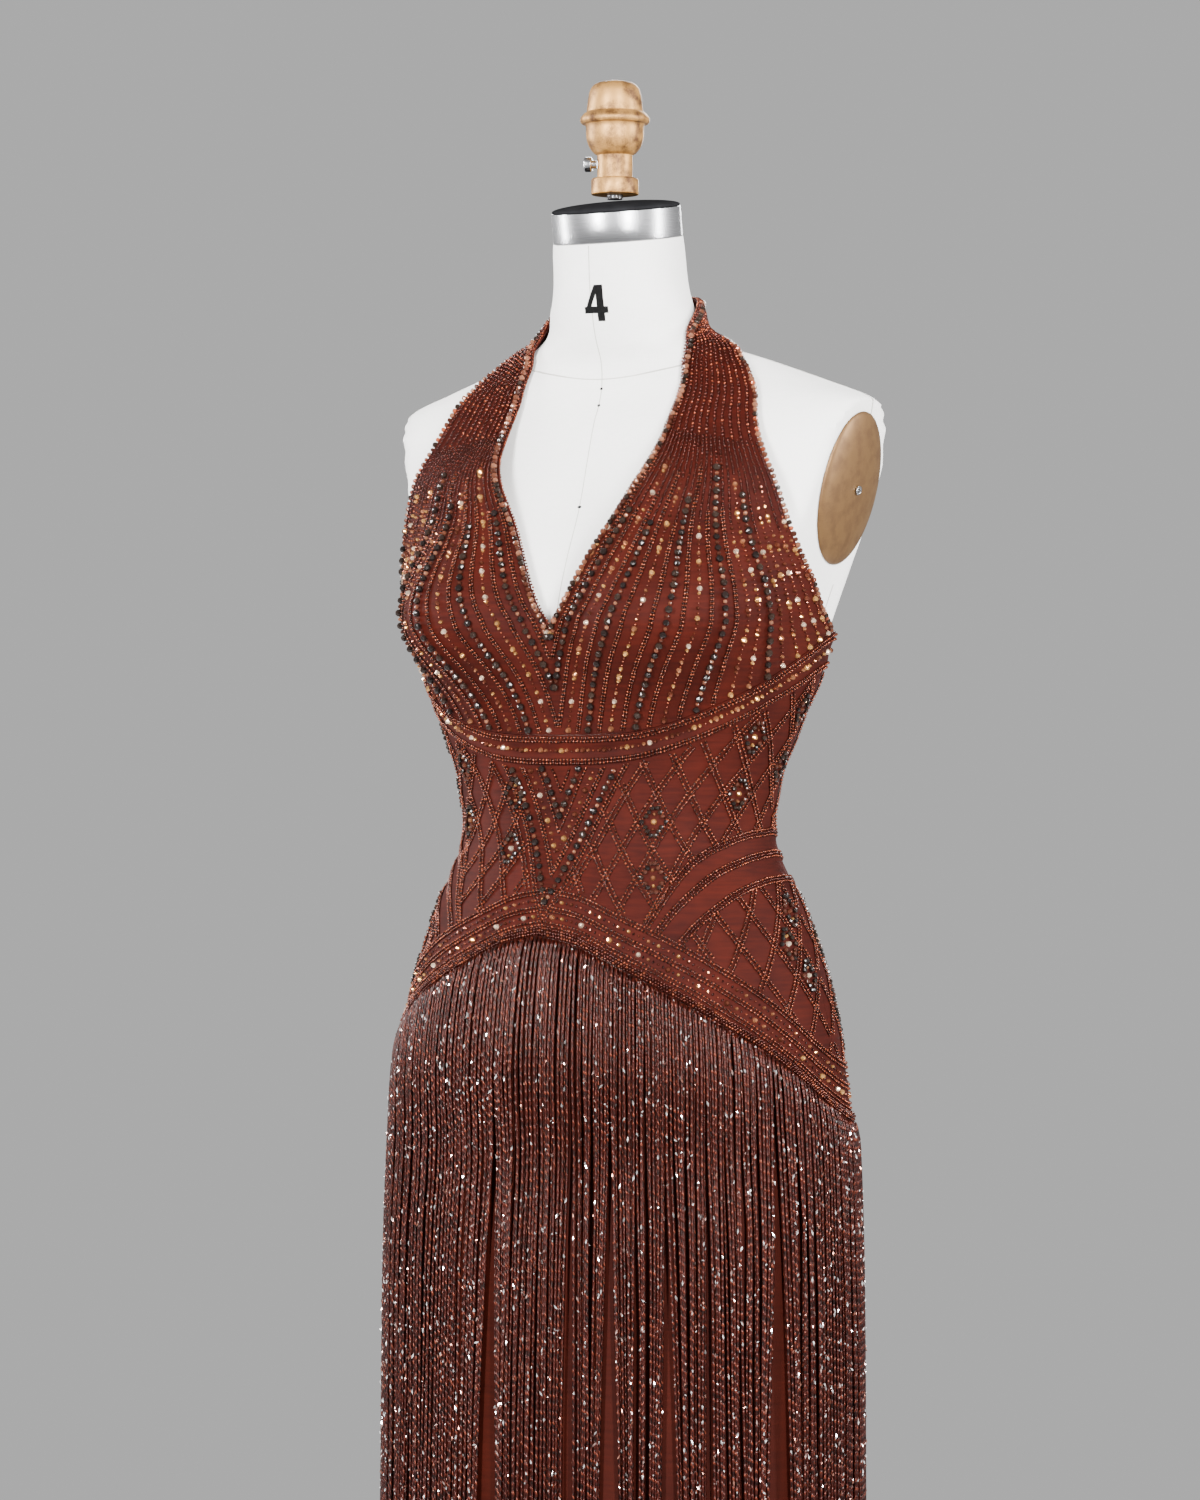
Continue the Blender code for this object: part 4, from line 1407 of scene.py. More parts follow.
@dataclass
class Yoke(Beaded):
    """The hip yoke: a chevron, a lattice, arcs over the hips and a wide border."""

    hanging: dict[str, list[Object]]  # the fringe pieces of each panel
    chevron_slope: float = math.radians(262)  # angle for each metre of height
    chevrons: tuple[tuple[float, Kinds, float], ...] = (  # tip, beads and pitch of each
        (1.0860, SEED_ROW, SEED_PITCH),
        (1.0680, DARK_ROW, 0.0047),
        (1.0560, SEED_ROW, SEED_PITCH),
        (1.0400, (STONE, SEED_BEAD, SMALL_STONE, SEED_BEAD), 0.0048),
        (1.0290, SEED_ROW, SEED_PITCH),
        (1.0235, SEED_ROW, SEED_PITCH),
        (1.0050, DARK_ROW, 0.0047),
        (0.9935, SEED_ROW, SEED_PITCH),
        (0.9880, SEED_ROW, SEED_PITCH),
    )
    lattice_tip: float = 0.9870  # where the lattice would meet at the centre front
    border_front: float = 0.033
    border_side: float = 0.042
    border_rows: tuple[float, ...] = (0.23, 0.31, 0.56, 0.64, 0.92, 1.0)
    stone_rows: tuple[tuple[float, Bead], ...] = ((0.435, STONE), (0.78, SMALL_STONE))
    arcs: tuple[Profile, ...] = (  # degrees from the centre front, and height
        ((28, 0.940), (40, 0.988), (53, 1.024), (75, 1.051), (97, 1.057)),
        ((32, 0.940), (44, 0.985), (60, 1.018), (80, 1.036), (97, 1.040)),
        ((38, 0.935), (50, 0.975), (66, 1.005), (84, 1.019), (97, 1.021)),
    )
    cell_degrees: float = 12.4
    cell_height: float = 0.0415
    double: float = 0.0016  # from a pair's middle to each of its rows
    arc_double: float = 0.0021
    border_pitch: float = 0.0040
    roll: tuple[tuple[float, float], ...] = ((0.0012, 0.0016), (0.0033, 0.0021), (0.0054, 0.0014))
    random_seed: int = 50

    def top(self, angle: Array) -> Array:
        """The yoke's upper edge."""
        return edge_height(BAND_FOOT, angle) - GAP / 2

    def foot(self, angle: Array) -> Array:
        """The yoke's lower edge."""
        return edge_height(YOKE_FOOT, angle)

    def border(self, angle: Array) -> Array:
        """The upper line of the border."""
        wide = smooth_step(np.degrees(np.abs(angle)) / 70)
        return self.foot(angle) + self.border_front + (self.border_side - self.border_front) * wide

    def arc(self, index: int, angle: Array) -> Array:
        """Height of one of the arcs, the same before and behind the side seam."""
        degrees = np.degrees(np.abs(angle))
        return hermite(np.minimum(degrees, 2 * math.degrees(SIDE) - degrees), *zip(*self.arcs[index]))

    def chevron(self, tip: float, angle: Array) -> Array:
        """Height of a chevron with a given tip."""
        return tip + np.abs(angle) / self.chevron_slope

    def in_lattice(self, angle: Array, height: Array, margin: float) -> Array:
        """Whether a place is in the waist lattice.

        Args:
            angle: Angles.
            height: Heights.
            margin: Distance to keep from the edges.

        Returns:
            Whether each place is in it.
        """
        low = np.maximum(self.border(angle), self.arc(0, angle)) + margin
        outside = height < self.chevron(self.lattice_tip, angle) - 1.3 * margin
        return (height > low) & (height < self.top(angle) - margin) & outside

    def in_hip(self, angle: Array, height: Array, margin: float) -> Array:
        """Whether a place is in the panel under the arcs."""
        return (height > self.border(angle) + margin) & (height < self.arc(2, angle) - margin)

    def lay_chevrons(self, work: BeadWork) -> None:
        """Lay the nested chevrons at the centre front.

        Args:
            work: Where the beads go.
        """
        line = np.linspace(-0.62, 0.62, 900)
        for tip, beads, pitch in self.chevrons:
            height = self.chevron(tip, line)
            keep = (height < self.top(line) - 0.0015) & (height > self.foot(line) + 0.006)
            work.row(beads, line, height, pitch, keep=keep)

    def lay_lattice(self, work: BeadWork, panel: Panel,
                    inside: Callable[[Array, Array, float], Array],
                    cell: float, tall: float, base: float, every: int) -> None:
        """Lay crossing double rows over a region, with a bead lozenge in some cells.

        Args:
            work: Where the beads go.
            panel: The panel that carries them.
            inside: Tells whether a place is in the region.
            cell: Width of a cell in radians.
            tall: Height of a cell.
            base: Height of the lattice's start.
            every: One cell in so many carries a lozenge.
        """
        heights = np.linspace(0.85, 1.18, 700)
        steps = range(-22, 23)
        for step in steps:
            for lean in (-1, 1):
                angle = (step + lean * (heights - base) / tall) * cell
                keep = inside(angle, heights, 0.0020)
                keep &= (angle > panel.start + 0.012) & (angle < panel.end - 0.012)
                for shift in (-self.double, self.double):
                    work.row(SEED_ROW, angle, heights, SEED_PITCH, keep=keep, shift=shift)
        for row in range(-10, 12):
            for step in steps:
                if (2 * row + step + 1) % every:
                    continue
                angle = (step + 0.5 * (row % 2)) * cell
                height = base + row * tall / 2
                far = inside(np.array([angle]), np.array([height]), 0.011)[0]
                if far and panel.start + 0.06 < angle < panel.end - 0.06:
                    work.cluster(angle + cell / 2, height, 0.0078, 0.0125)

    def lay_arcs(self, work: BeadWork, panel: Panel) -> None:
        """Lay the three double arcs over each hip.

        Args:
            work: Where the beads go.
            panel: The panel that carries them.
        """
        line = panel.line(1600)
        for index in range(len(self.arcs)):
            height = self.arc(index, line)
            keep = height > self.border(line) + 0.001
            for shift in (-self.arc_double, self.arc_double):
                work.row(SEED_ROW, line, height, SEED_PITCH, keep=keep, shift=shift)
            work.row(FAN_SEED, line, height, 0.0024, keep=keep, brighter=0.6)

    def lay_border(self, work: BeadWork, panel: Panel) -> None:
        """Lay the rows of the border and its rolled edge.

        Args:
            work: Where the beads go.
            panel: The panel that carries them.
        """
        line = panel.line(1800)
        foot, top = self.foot(line), self.border(line)
        for share in self.border_rows:
            work.row(SEED_ROW, line, foot + (top - foot) * share, SEED_PITCH, CLOTH_TOP + 0.0007)
        for share, first in self.stone_rows:
            pattern = (first, THREAD_AND_SHADOW_BEAD, SMALL_STONE, THREAD_AND_SHADOW_BEAD, SEED_BEAD, THREAD_AND_SHADOW_BEAD)
            work.row(pattern, line, foot + (top - foot) * share, self.border_pitch,
                     CLOTH_TOP + 0.0006)
        for up, lift in self.roll:
            work.row(STRAP_SEED, line, foot + up, 0.0023, CLOTH_TOP + lift, brighter=0.62)

    def build(self) -> None:
        """Build the three panels and their beads."""
        border = YOKE_EDGE_RELIEF[-1][0]
        fine = np.linspace(0.0, border, 14)
        reliefs = list(np.interp(fine, *zip(*YOKE_EDGE_RELIEF)))
        rows: list[Height] = [self.row_at(float(distance), 0.0) for distance in fine]
        shares = np.linspace(0.0, 1.0, 40)[1:]
        rows += [self.row_at(border, float(share)) for share in shares]
        reliefs += [YOKE_EDGE_RELIEF[-1][1] * max(0.0, 1 - 8 * share) for share in shares]
        for number, panel in enumerate(panels("yoke", 120, 52)):
            piece, cut = Shell(panel, rows, reliefs).build(self.cloth, "beaded_cloth")
            work = BeadWork(self.random_seed + number)
            if number == 0:
                self.lay_chevrons(work)
            self.lay_lattice(work, panel, self.in_lattice, math.radians(self.cell_degrees),
                             self.cell_height, 1.106, 4)
            self.lay_lattice(work, panel, self.in_hip, math.radians(self.cell_degrees * 0.92),
                             self.cell_height * 1.1, 0.975, 2)
            self.lay_arcs(work, panel)
            self.lay_border(work, panel)
            pieces = work.build(panel.name, self.beads) + self.hanging[panel.name]
            declare(piece, cut, "draped", pieces)

    def row_at(self, above: float, share: float) -> Height:
        """A row a distance above the foot, then a share of the rest."""
        return between(lambda angle: self.foot(angle) + above, self.top, share)


@dataclass
class Skirt:
    """The smooth underskirt, from the hips to the floor."""

    cloth: Material
    rows: int = 52
    hem: float = 0.009

    def top(self, angle: Array) -> Array:
        """The skirt's upper edge."""
        return edge_height(YOKE_FOOT, angle) - GAP

    def foot(self, angle: Array) -> Array:
        """The hem."""
        return self.hem + 0 * angle

    def build(self) -> None:
        """Build the three panels."""
        shares = np.linspace(0.0, 1.0, self.rows)
        heights = [between(self.foot, self.top, float(share)) for share in shares]
        for panel in panels("skirt", 130, 58):
            shell = Shell(panel, heights, [0.0] * self.rows)
            declare(*shell.build(self.cloth, "underskirt_cloth"), "hung")


class Slit(NamedTuple):
    """A place where the strands part: its angle, where it starts, and its half width at the end."""

    degrees: float
    start: float
    half_width: float


@dataclass
class Fringe:
    """Hundreds of twisted bead strands, hung from a narrow strip under the yoke's edge."""

    strand: Material
    spark: Material
    pitch: float = 0.0033
    sides: int = 6  # the caps are drawn for six
    levels: int = 25
    radius: float = 0.00112
    end_height: float = 0.0205
    lifts: tuple[float, ...] = (0.0062, 0.0079)
    swell: float = 0.0021  # how far the strands stand out once past the rolled edge
    crowding: float = 1.7  # how much closer the levels are at the roots
    glints: int = 37  # on each strand
    slit_length: float = 0.40  # over which a slit opens
    slit_angle: float = 0.065  # radians to each side that its parting reaches
    random_seed: int = 70
    slits: tuple[Slit, ...] = (
        Slit(-12.5, 0.92, 0.0062), Slit(15, 1.00, 0.0028), Slit(28, 0.90, 0.0055), Slit(45, 0.90, 0.0046),
        Slit(55, 0.96, 0.0016), Slit(72, 0.92, 0.0060), Slit(-46, 0.82, 0.0042),
        Slit(-80, 0.78, 0.0045), Slit(112, 0.76, 0.0050), Slit(139, 0.82, 0.0055), Slit(166, 0.80, 0.0040),
        Slit(-118, 0.78, 0.0050), Slit(-147, 0.84, 0.0055), Slit(-171, 0.76, 0.0040),
    )

    def strands(self, panel: Panel, random: np.random.Generator) -> tuple[Array, ...]:
        """Where the strands of a panel run.

        Args:
            panel: The panel that they hang from.
            random: The source of their differences.

        Returns:
            Angles, heights and lifts at each level of each strand.
        """
        line = panel.line(2000, 0.010)
        foot = FIGURE.cloth(line, edge_height(YOKE_FOOT, line) - 0.004, self.lifts[0])
        level_run = np.linalg.norm(np.diff(foot[:, :2], axis=0), axis=-1)
        run = np.concatenate([[0.0], np.cumsum(level_run)])
        roots, lifts = [], []
        for layer, lift in enumerate(self.lifts):
            stops = np.arange(self.pitch * (0.25 + 0.5 * layer), run[-1], self.pitch)
            stops = stops + random.normal(0.0, 0.00035, len(stops))
            roots.append(np.interp(stops, run, line))
            lifts.append(np.full(len(stops), lift) + random.uniform(-0.0002, 0.0004, len(stops)))
        root, lift = np.concatenate(roots), np.concatenate(lifts)
        top = edge_height(YOKE_FOOT, root) - 0.0012
        share = np.linspace(0.0, 1.0, self.levels)[None, :] ** self.crowding
        end = self.end_height + random.uniform(0.0, 0.004, len(root))
        height = top[:, None] + (end - top)[:, None] * share
        wander = self.drift(root, share, random)
        parted = np.zeros_like(wander)
        for slit in self.slits:
            grown = smooth_step((slit.start - height) / self.slit_length)
            away = root[:, None] - math.radians(slit.degrees)
            near = np.exp(-(away / self.slit_angle) ** 2) * grown
            parted += np.sign(away) * near * slit.half_width * 1.35
            wander = wander * (1 - 0.85 * near)
        drift = wander + parted
        lift = lift[:, None] + self.swell * smooth_step((top[:, None] - height) / 0.008)
        reach = np.linalg.norm(FIGURE.cloth(root[:, None], height, lift)[..., :2], axis=-1)
        return root[:, None] + drift / reach, height, lift

    def drift(self, root: Array, share: Array, random: np.random.Generator) -> Array:
        """Sideways wander of the strands, alike in neighbours, so that they gather in locks.

        Args:
            root: The strands' angles.
            share: 0 at the root and 1 at the end.
            random: The source of their differences.

        Returns:
            Distances at each level of each strand.
        """
        drift = np.zeros((len(root), share.shape[1]))
        for wave in range(7):
            round_rate = random.uniform(50, 190)
            down_rate = random.uniform(1.0, 6.0)
            phase = random.uniform(0, 2 * math.pi)
            drift += 0.00062 * np.sin(round_rate * root[:, None] + down_rate * share + phase + wave)
        own = random.uniform(0, 2 * math.pi, (len(root), 1))
        rate = random.uniform(4, 14, (len(root), 1))
        drift += 0.00055 * np.sin(rate * share + own)
        return drift * smooth_step(share * 5)

    def tubes(self, name: str, angle: Array, height: Array, lift: Array) -> Mesh:
        """Build a thin tube on each strand's line.

        Args:
            name: The mesh's name.
            angle: Angles.
            height: Heights.
            lift: Lifts.

        Returns:
            The mesh.
        """
        line, out = FIGURE.place(angle, height, lift)
        count, levels = angle.shape
        side = np.cross(out, unit(np.gradient(line, axis=1)))
        turns = 2 * math.pi * np.arange(self.sides) / self.sides
        ring = np.cos(turns)[:, None, None, None] * out + np.sin(turns)[:, None, None, None] * side
        thick = np.full(levels, self.radius)
        thick[-1] = self.radius * 0.55
        points = line + ring * thick[None, None, :, None]
        points = np.moveaxis(points, 0, 2)
        end = (levels - 1) * self.sides
        caps = np.array([(0, 3, 2, 1), (0, 5, 4, 3), (end, end + 1, end + 2, end + 3),
                         (end, end + 3, end + 4, end + 5)])
        faces = np.concatenate([grid_faces(levels, self.sides, closed=True), caps])[:, ::-1]
        steps = np.arange(count)[:, None, None] * (levels * self.sides)
        quads = (faces[None] + steps).reshape(-1, 4)
        mesh = mesh_of(name, points.reshape(-1, 3), quads)
        run = np.concatenate([np.zeros((count, 1)),
                              np.cumsum(np.linalg.norm(np.diff(line, axis=1), axis=-1), axis=1)], 1)
        run += np.arange(count)[:, None] * 0.6180
        along = np.repeat(run[..., None], self.sides, axis=-1)
        around = np.arange(count)[:, None, None] + np.broadcast_to(
            np.abs(np.linspace(-1, 1, self.sides)) * 0.5, along.shape)
        add_uv(mesh, np.stack([around, along], -1).reshape(-1, 2))
        LOG.info("%s: %d strands", name, count)
        return mesh

    def build(self) -> dict[str, list[Object]]:
        """Build the strips, strands and glinting beads.

        Returns:
            The pieces that hang from each panel of the yoke.
        """
        hanging = {}
        for number, panel in enumerate(panels("fringe", 120, 52)):
            random = np.random.default_rng(self.random_seed + number)
            lines = self.strands(panel, random)
            strip = show(self.strip(panel), self.strand, "bead_fringe")
            tubes = self.tubes(panel.name + "_strands", *lines)
            strands = show(tubes, self.strand, "bead_fringe", [panel.name])
            sparks = self.sparks(panel.name, lines, random)
            hanging[panel.name.replace("fringe", "yoke")] = [strands, strip, sparks]
        return hanging

    def strip(self, panel: Panel) -> Mesh:
        """The narrow strip that carries the strands.

        Args:
            panel: The panel of the fringe.

        Returns:
            The mesh.
        """
        angles = panel.angles()
        top = edge_height(YOKE_FOOT, angles) - 0.0009
        heights = np.stack([top - 0.008, top])
        outside = FIGURE.cloth(angles, heights, 0.0069)
        inside = FIGURE.cloth(angles, heights, 0.0055)
        return wall(panel.name + "_strip", outside, inside, angles, heights)

    def sparks(self, name: str, lines: Sequence[Array], random: np.random.Generator) -> Object:
        """Silver-lined beads at odd places down the strands.

        Args:
            name: The start of the piece's name.
            lines: What strands() gives.
            random: The source of their differences.

        Returns:
            The piece.
        """
        count, levels = lines[0].shape
        which = np.repeat(np.arange(count), self.glints)
        down_it = random.uniform(0.0005, 0.999, len(which))
        place = (levels - 1) * down_it ** (1 / self.crowding)
        low = np.minimum(place.astype(int), levels - 2)
        part = place - low
        angle, height, lift = (values[which, low] * (1 - part) + values[which, low + 1] * part
                               for values in lines)
        spots, out = FIGURE.place(angle, height, lift + 0.0002)
        work = BeadWork(int(random.integers(1000)))
        down = np.tile([0.0, 0.0, -1.0], (len(spots), 1)) + random.normal(0, 0.3, (len(spots), 3))
        out = unit(out + random.normal(0, 0.35, out.shape))
        for kind, mine in ((GLINT, slice(0, None, 3)), (SMALL_GLINT, slice(1, None, 3)),
                           (SMALL_GLINT, slice(2, None, 3))):
            work.put(kind, spots[mine], down[mine], out[mine])
        made = work.build(name, {Shape.SEED: self.spark})[0]
        made.data.polygons.foreach_set("use_smooth", np.zeros(len(made.data.polygons), bool))
        return made


# Form and stand


@dataclass
class Form:
    """The padded torso with its seams and size numeral."""

    canvas: Material
    seam_canvas: Material
    ink: Material
    columns: int = 144
    foot: float = 0.740
    shoulder: float = 1.34
    neck_foot: float = 1.45
    neck_top: float = 1.491
    tilt: float = math.radians(9)
    tilt_start: float = 1.44
    neck_middle: float = 0.005
    axis: float = 0.010  # the middle of the body, behind the centre of the part
    seam_half: float = 0.0008  # half the width of a raised seam
    pins: tuple[float, ...] = (1.3800, 1.3675, 1.2920)
    numeral_angle: float = math.radians(3.4)
    numeral_foot: float = 1.4280
    numeral_half: float = 0.0086
    neck_radius: float = 0.0515

    def build(self) -> None:
        """Build the torso, then what lies on it."""
        self.build_body()
        self.build_seams()
        self.build_numeral()
        self.build_pins()

    def way_out(self, points: Array) -> Array:
        """Level directions from the form's upright axis to points."""
        return unit((points - np.array([0.0, self.axis, 0.0])) * np.array([1.0, 1.0, 0.0]))

    def surface(self, angle: Number, height: Number, lift: float = 0.0) -> Array:
        """Points on the canvas, with the leaning neck and the flat cuts for the arm plates.

        Args:
            angle: Angles.
            height: Heights.
            lift: Distance from the canvas.

        Returns:
            The points.
        """
        points = FIGURE.form(angle, height).copy()
        points += self.way_out(points) * lift
        lean = np.clip((points[..., 2] - self.tilt_start) / (self.neck_top - self.tilt_start), 0.0, 1.0)
        points[..., 2] += lean * (points[..., 1] - self.neck_middle) * math.tan(self.tilt)
        for side in (-1, 1):
            place = ArmPlates.frame_of(side)
            outward = np.array(place.col[2][:3])
            beyond = np.maximum((points - np.array(place.translation)) @ outward - lift, 0.0)
            points -= beyond[..., None] * outward
        return points

    def build_body(self) -> None:
        """Build the smooth torso."""
        angles = np.linspace(-math.pi, math.pi, self.columns, endpoint=False)
        heights = np.unique(np.concatenate([
            np.linspace(self.foot, self.shoulder, 80),
            np.linspace(self.shoulder, self.neck_foot, 50),
            np.linspace(self.neck_foot, self.neck_top, 16)]))
        points = self.surface(angles[None, :], heights[:, None])
        rows = len(heights)
        mesh = mesh_of(FORM_BODY, points.reshape(-1, 3), grid_faces(rows, self.columns, True))
        work = bmesh.new()
        work.from_mesh(mesh)
        work.verts.ensure_lookup_table()
        work.faces.new([work.verts[number] for number in reversed(range(self.columns))])
        last = (rows - 1) * self.columns
        work.faces.new([work.verts[last + number] for number in range(self.columns)])
        work.to_mesh(mesh)
        work.free()
        mesh.set_sharp_from_angle(angle=math.radians(45))
        show(mesh, self.canvas, "form_canvas", ["form_torso"])

    def build_seams(self) -> None:
        """Build the raised seams: centre front and back, sides, neck and shoulders."""
        upright = np.linspace(self.foot + 0.002, self.neck_top - 0.001, 260)
        lines = [(0 * upright + turn, upright) for turn in (0.0, BACK)]
        side = np.linspace(self.foot + 0.002, 1.235, 160)
        lines += [(0 * side + turn, side) for turn in (-SIDE, SIDE)]
        round_it = np.linspace(-math.pi, math.pi, 300)
        lines.append((round_it, 1.4085 - 0.0215 * np.cos(round_it)))
        shoulder = np.linspace(0.0, 1.0, 120)
        for turn in (-1, 1):
            lines.append((turn * (1.50 + 0.10 * shoulder), 1.4205 - 0.0665 * shoulder ** 1.5))
        grids = []
        for angle, height in lines:
            line = self.surface(angle, height, self.seam_half / 2)
            along = np.gradient(line, axis=0)
            out = self.way_out(line)
            edge = unit(np.cross(along, out)) * self.seam_half
            sunk = line - out * self.seam_half
            grids.append(np.stack([sunk - edge, line, sunk + edge], 1))
        show(joined("form_seams", grids, True), self.seam_canvas, "form_canvas")

    def build_pins(self) -> None:
        """Build the three small pin marks down the centre front."""
        turns = np.linspace(2 * math.pi, 0, 12, endpoint=False)
        radius = np.array([0.0001, 0.0007, 0.0011])[:, None]
        forward = np.array([0.0011, 0.0009, 0.0])[:, None, None] * np.array([0.0, -1.0, 0.0])
        angle = radius * np.cos(turns) / 0.06
        rings = [self.surface(angle, height + radius * np.sin(turns)) for height in self.pins]
        show(joined("form_pins", [ring + forward for ring in rings], True), self.ink, None)

    def build_numeral(self) -> None:
        """Build the plain size numeral 4 on the neck from three strokes."""
        strokes = (
            ((0.0099, 0.0), (0.0155, 0.0), (0.0155, 0.0285), (0.0099, 0.0285)),
            ((0.0, 0.0058), (0.0184, 0.0058), (0.0184, 0.0106), (0.0, 0.0106)),
            ((0.0, 0.0060), (0.0054, 0.0100), (0.0132, 0.0285), (0.0090, 0.0285)),
        )
        grids = []
        steps = np.linspace(0.0, 1.0, 9)
        for level, stroke in enumerate(strokes):
            a, b, c, d = (np.array(corner) for corner in stroke)
            u, v = np.meshgrid(steps, steps)
            u, v = u[..., None], v[..., None]
            flat = (1 - v) * ((1 - u) * a + u * b) + v * ((1 - u) * d + u * c)
            angle = self.numeral_angle + (flat[..., 0] - self.numeral_half) / self.neck_radius
            lift = 0.00030 + 0.00012 * level
            grids.append(self.surface(angle, self.numeral_foot + flat[..., 1], lift))
        show(joined("form_numeral", grids), self.ink, None)


@dataclass
class ArmPlates:
    """The oval plates where the arms would start, with their screws."""

    paint: Material
    steel: Material
    half_height: float = 0.0570
    half_width: float = 0.0400
    dome: float = 0.0075
    screw_radius: float = 0.0034
    screw_height: float = 0.0016

    @staticmethod
    def frame_of(side: int) -> Matrix:
        """Place and directions of a plate: its own X is along its width and Z points out.

        Args:
            side: 1 on the wearer's left and -1 on the right.

        Returns:
            The place.
        """
        outward = Vector((side * 0.968, -0.090, -0.235)).normalized()
        up = (Vector((0, 0, 1)) - outward * outward.z).normalized()
        across = up.cross(outward)
        turn = Matrix((across, up, outward)).transposed().to_4x4()
        return Matrix.Translation(Vector((side * 0.1715, 0.0360, 1.3060))) @ turn

    def build(self) -> None:
        """Build a plate and a screw on each side."""
        for side, word in ((1, "left"), (-1, "right")):
            place = self.frame_of(side)
            bpy.ops.mesh.primitive_uv_sphere_add(segments=96, ring_count=32, radius=1.0)
            plate = bpy.context.object
            plate.name = "arm_plate_disc_" + word
            bpy.ops.object.mode_set(mode="EDIT")
            bpy.ops.mesh.bisect(plane_co=(0, 0, 0), plane_no=(0, 0, 1), use_fill=True, clear_inner=True)
            bpy.ops.object.mode_set(mode="OBJECT")
            plate.scale = (self.half_width, self.half_height, self.dome)
            settle(plate, place @ Matrix.Translation((0, 0, GAP)))
            bevel(plate, 0.0008)
            dress(plate, self.paint, "gold_paint", ["arm_plate_" + word])
            screw = self.screw(word)
            settle(screw, place @ Matrix.Translation((0, 0, self.dome + 2 * GAP)))
            dress(screw, self.steel, "steel", ["arm_screw_" + word])

    def screw(self, word: str) -> Object:
        """A round screw head with a cross recess.

        Args:
            word: The side's name.

        Returns:
            The screw.
        """
        bpy.ops.mesh.primitive_cylinder_add(vertices=40, radius=self.screw_radius,
                                            depth=self.screw_height,
                                            location=(0, 0, self.screw_height / 2))
        head = bpy.context.object
        head.name = "arm_plate_screw_" + word
        bevel(head, 0.0006)
        arm = (self.screw_radius * 1.15, self.screw_radius * 0.24, self.screw_height)
        for turn in (0.0, math.pi / 2):
            cut_slot(head, arm, self.screw_height, turn)
        return head


def cut_slot(head: Object, size: Triple, height: float, turn: float = 0.0) -> None:
    """Cut a straight slot across a screw's head.

    Args:
        head: The screw, upright.
        size: The slot's length, width and depth.
        height: Height of its middle.
        turn: Angle about the screw.
    """
    bpy.ops.mesh.primitive_cube_add(size=1.0, location=(0, 0, height))
    cutter = bpy.context.object
    cutter.scale = size
    cutter.rotation_euler = (0, 0, turn)
    cut = head.modifiers.new("slot", "BOOLEAN")
    cut.object = cutter
    cut.operation = "DIFFERENCE"
    apply_modifiers(head)
    bpy.data.objects.remove(cutter)


def settle(made: Object, place: Matrix) -> None:
    """Put an object's place into its mesh.

    Args:
        made: The object.
        place: Where it goes.
    """
    made.data.transform(place @ made.matrix_basis)
    made.matrix_basis = Matrix.Identity(4)
    made.data.update()


def bevel(made: Object, width: float) -> None:
    """Round the sharp edges of an object and shade it smooth.

    Args:
        made: The object.
        width: Width of the rounding.
    """
    round_edges = made.modifiers.new("edges", "BEVEL")
    round_edges.width = width
    round_edges.segments = 3
    round_edges.limit_method = "ANGLE"
    round_edges.angle_limit = math.radians(35)
    apply_modifiers(made)
    bpy.ops.object.shade_smooth_by_angle(angle=math.radians(40))


def turned(name: str, profile: Profile, sides: int,
           edge: float) -> Object:
    """Turn a solid about Z, as on a lathe: a ring is drawn out and widened step by step.

    Args:
        name: The piece's name.
        profile: Radius and height of each ring, from the foot up.
        sides: How many sides a ring has.
        edge: Width of the rounding on sharp edges.

    Returns:
        The piece.
    """
    deselect()
    radius, height = profile[0]
    bpy.ops.mesh.primitive_circle_add(vertices=sides, radius=radius, fill_type="NGON",
                                      location=(0, 0, height))
    made = bpy.context.object
    made.name = name
    bpy.ops.object.mode_set(mode="EDIT")
    bpy.ops.mesh.select_all(action="SELECT")
    for wider, higher in profile[1:]:
        bpy.ops.mesh.extrude_region_move(TRANSFORM_OT_translate={"value": (0, 0, higher - height)})
        grown = wider / radius
        bpy.ops.transform.resize(value=(grown, grown, 1.0))
        radius, height = wider, higher
    bpy.ops.mesh.select_all(action="SELECT")
    bpy.ops.mesh.normals_make_consistent(inside=False)
    bpy.ops.object.mode_set(mode="OBJECT")
    settle(made, Matrix.Identity(4))
    bevel(made, edge)
    return made


def eased(profile: Profile, steps: int) -> list[tuple[float, float]]:
    """Smooth a run of rings by reading a curve through them.

    Args:
        profile: Radius and height of each ring.
        steps: How many rings to read.

    Returns:
        The closer rings.
    """
    places = np.arange(len(profile))
    at = np.linspace(0, len(profile) - 1, steps)
    return list(zip(*(hermite(at, places, column).tolist() for column in zip(*profile))))


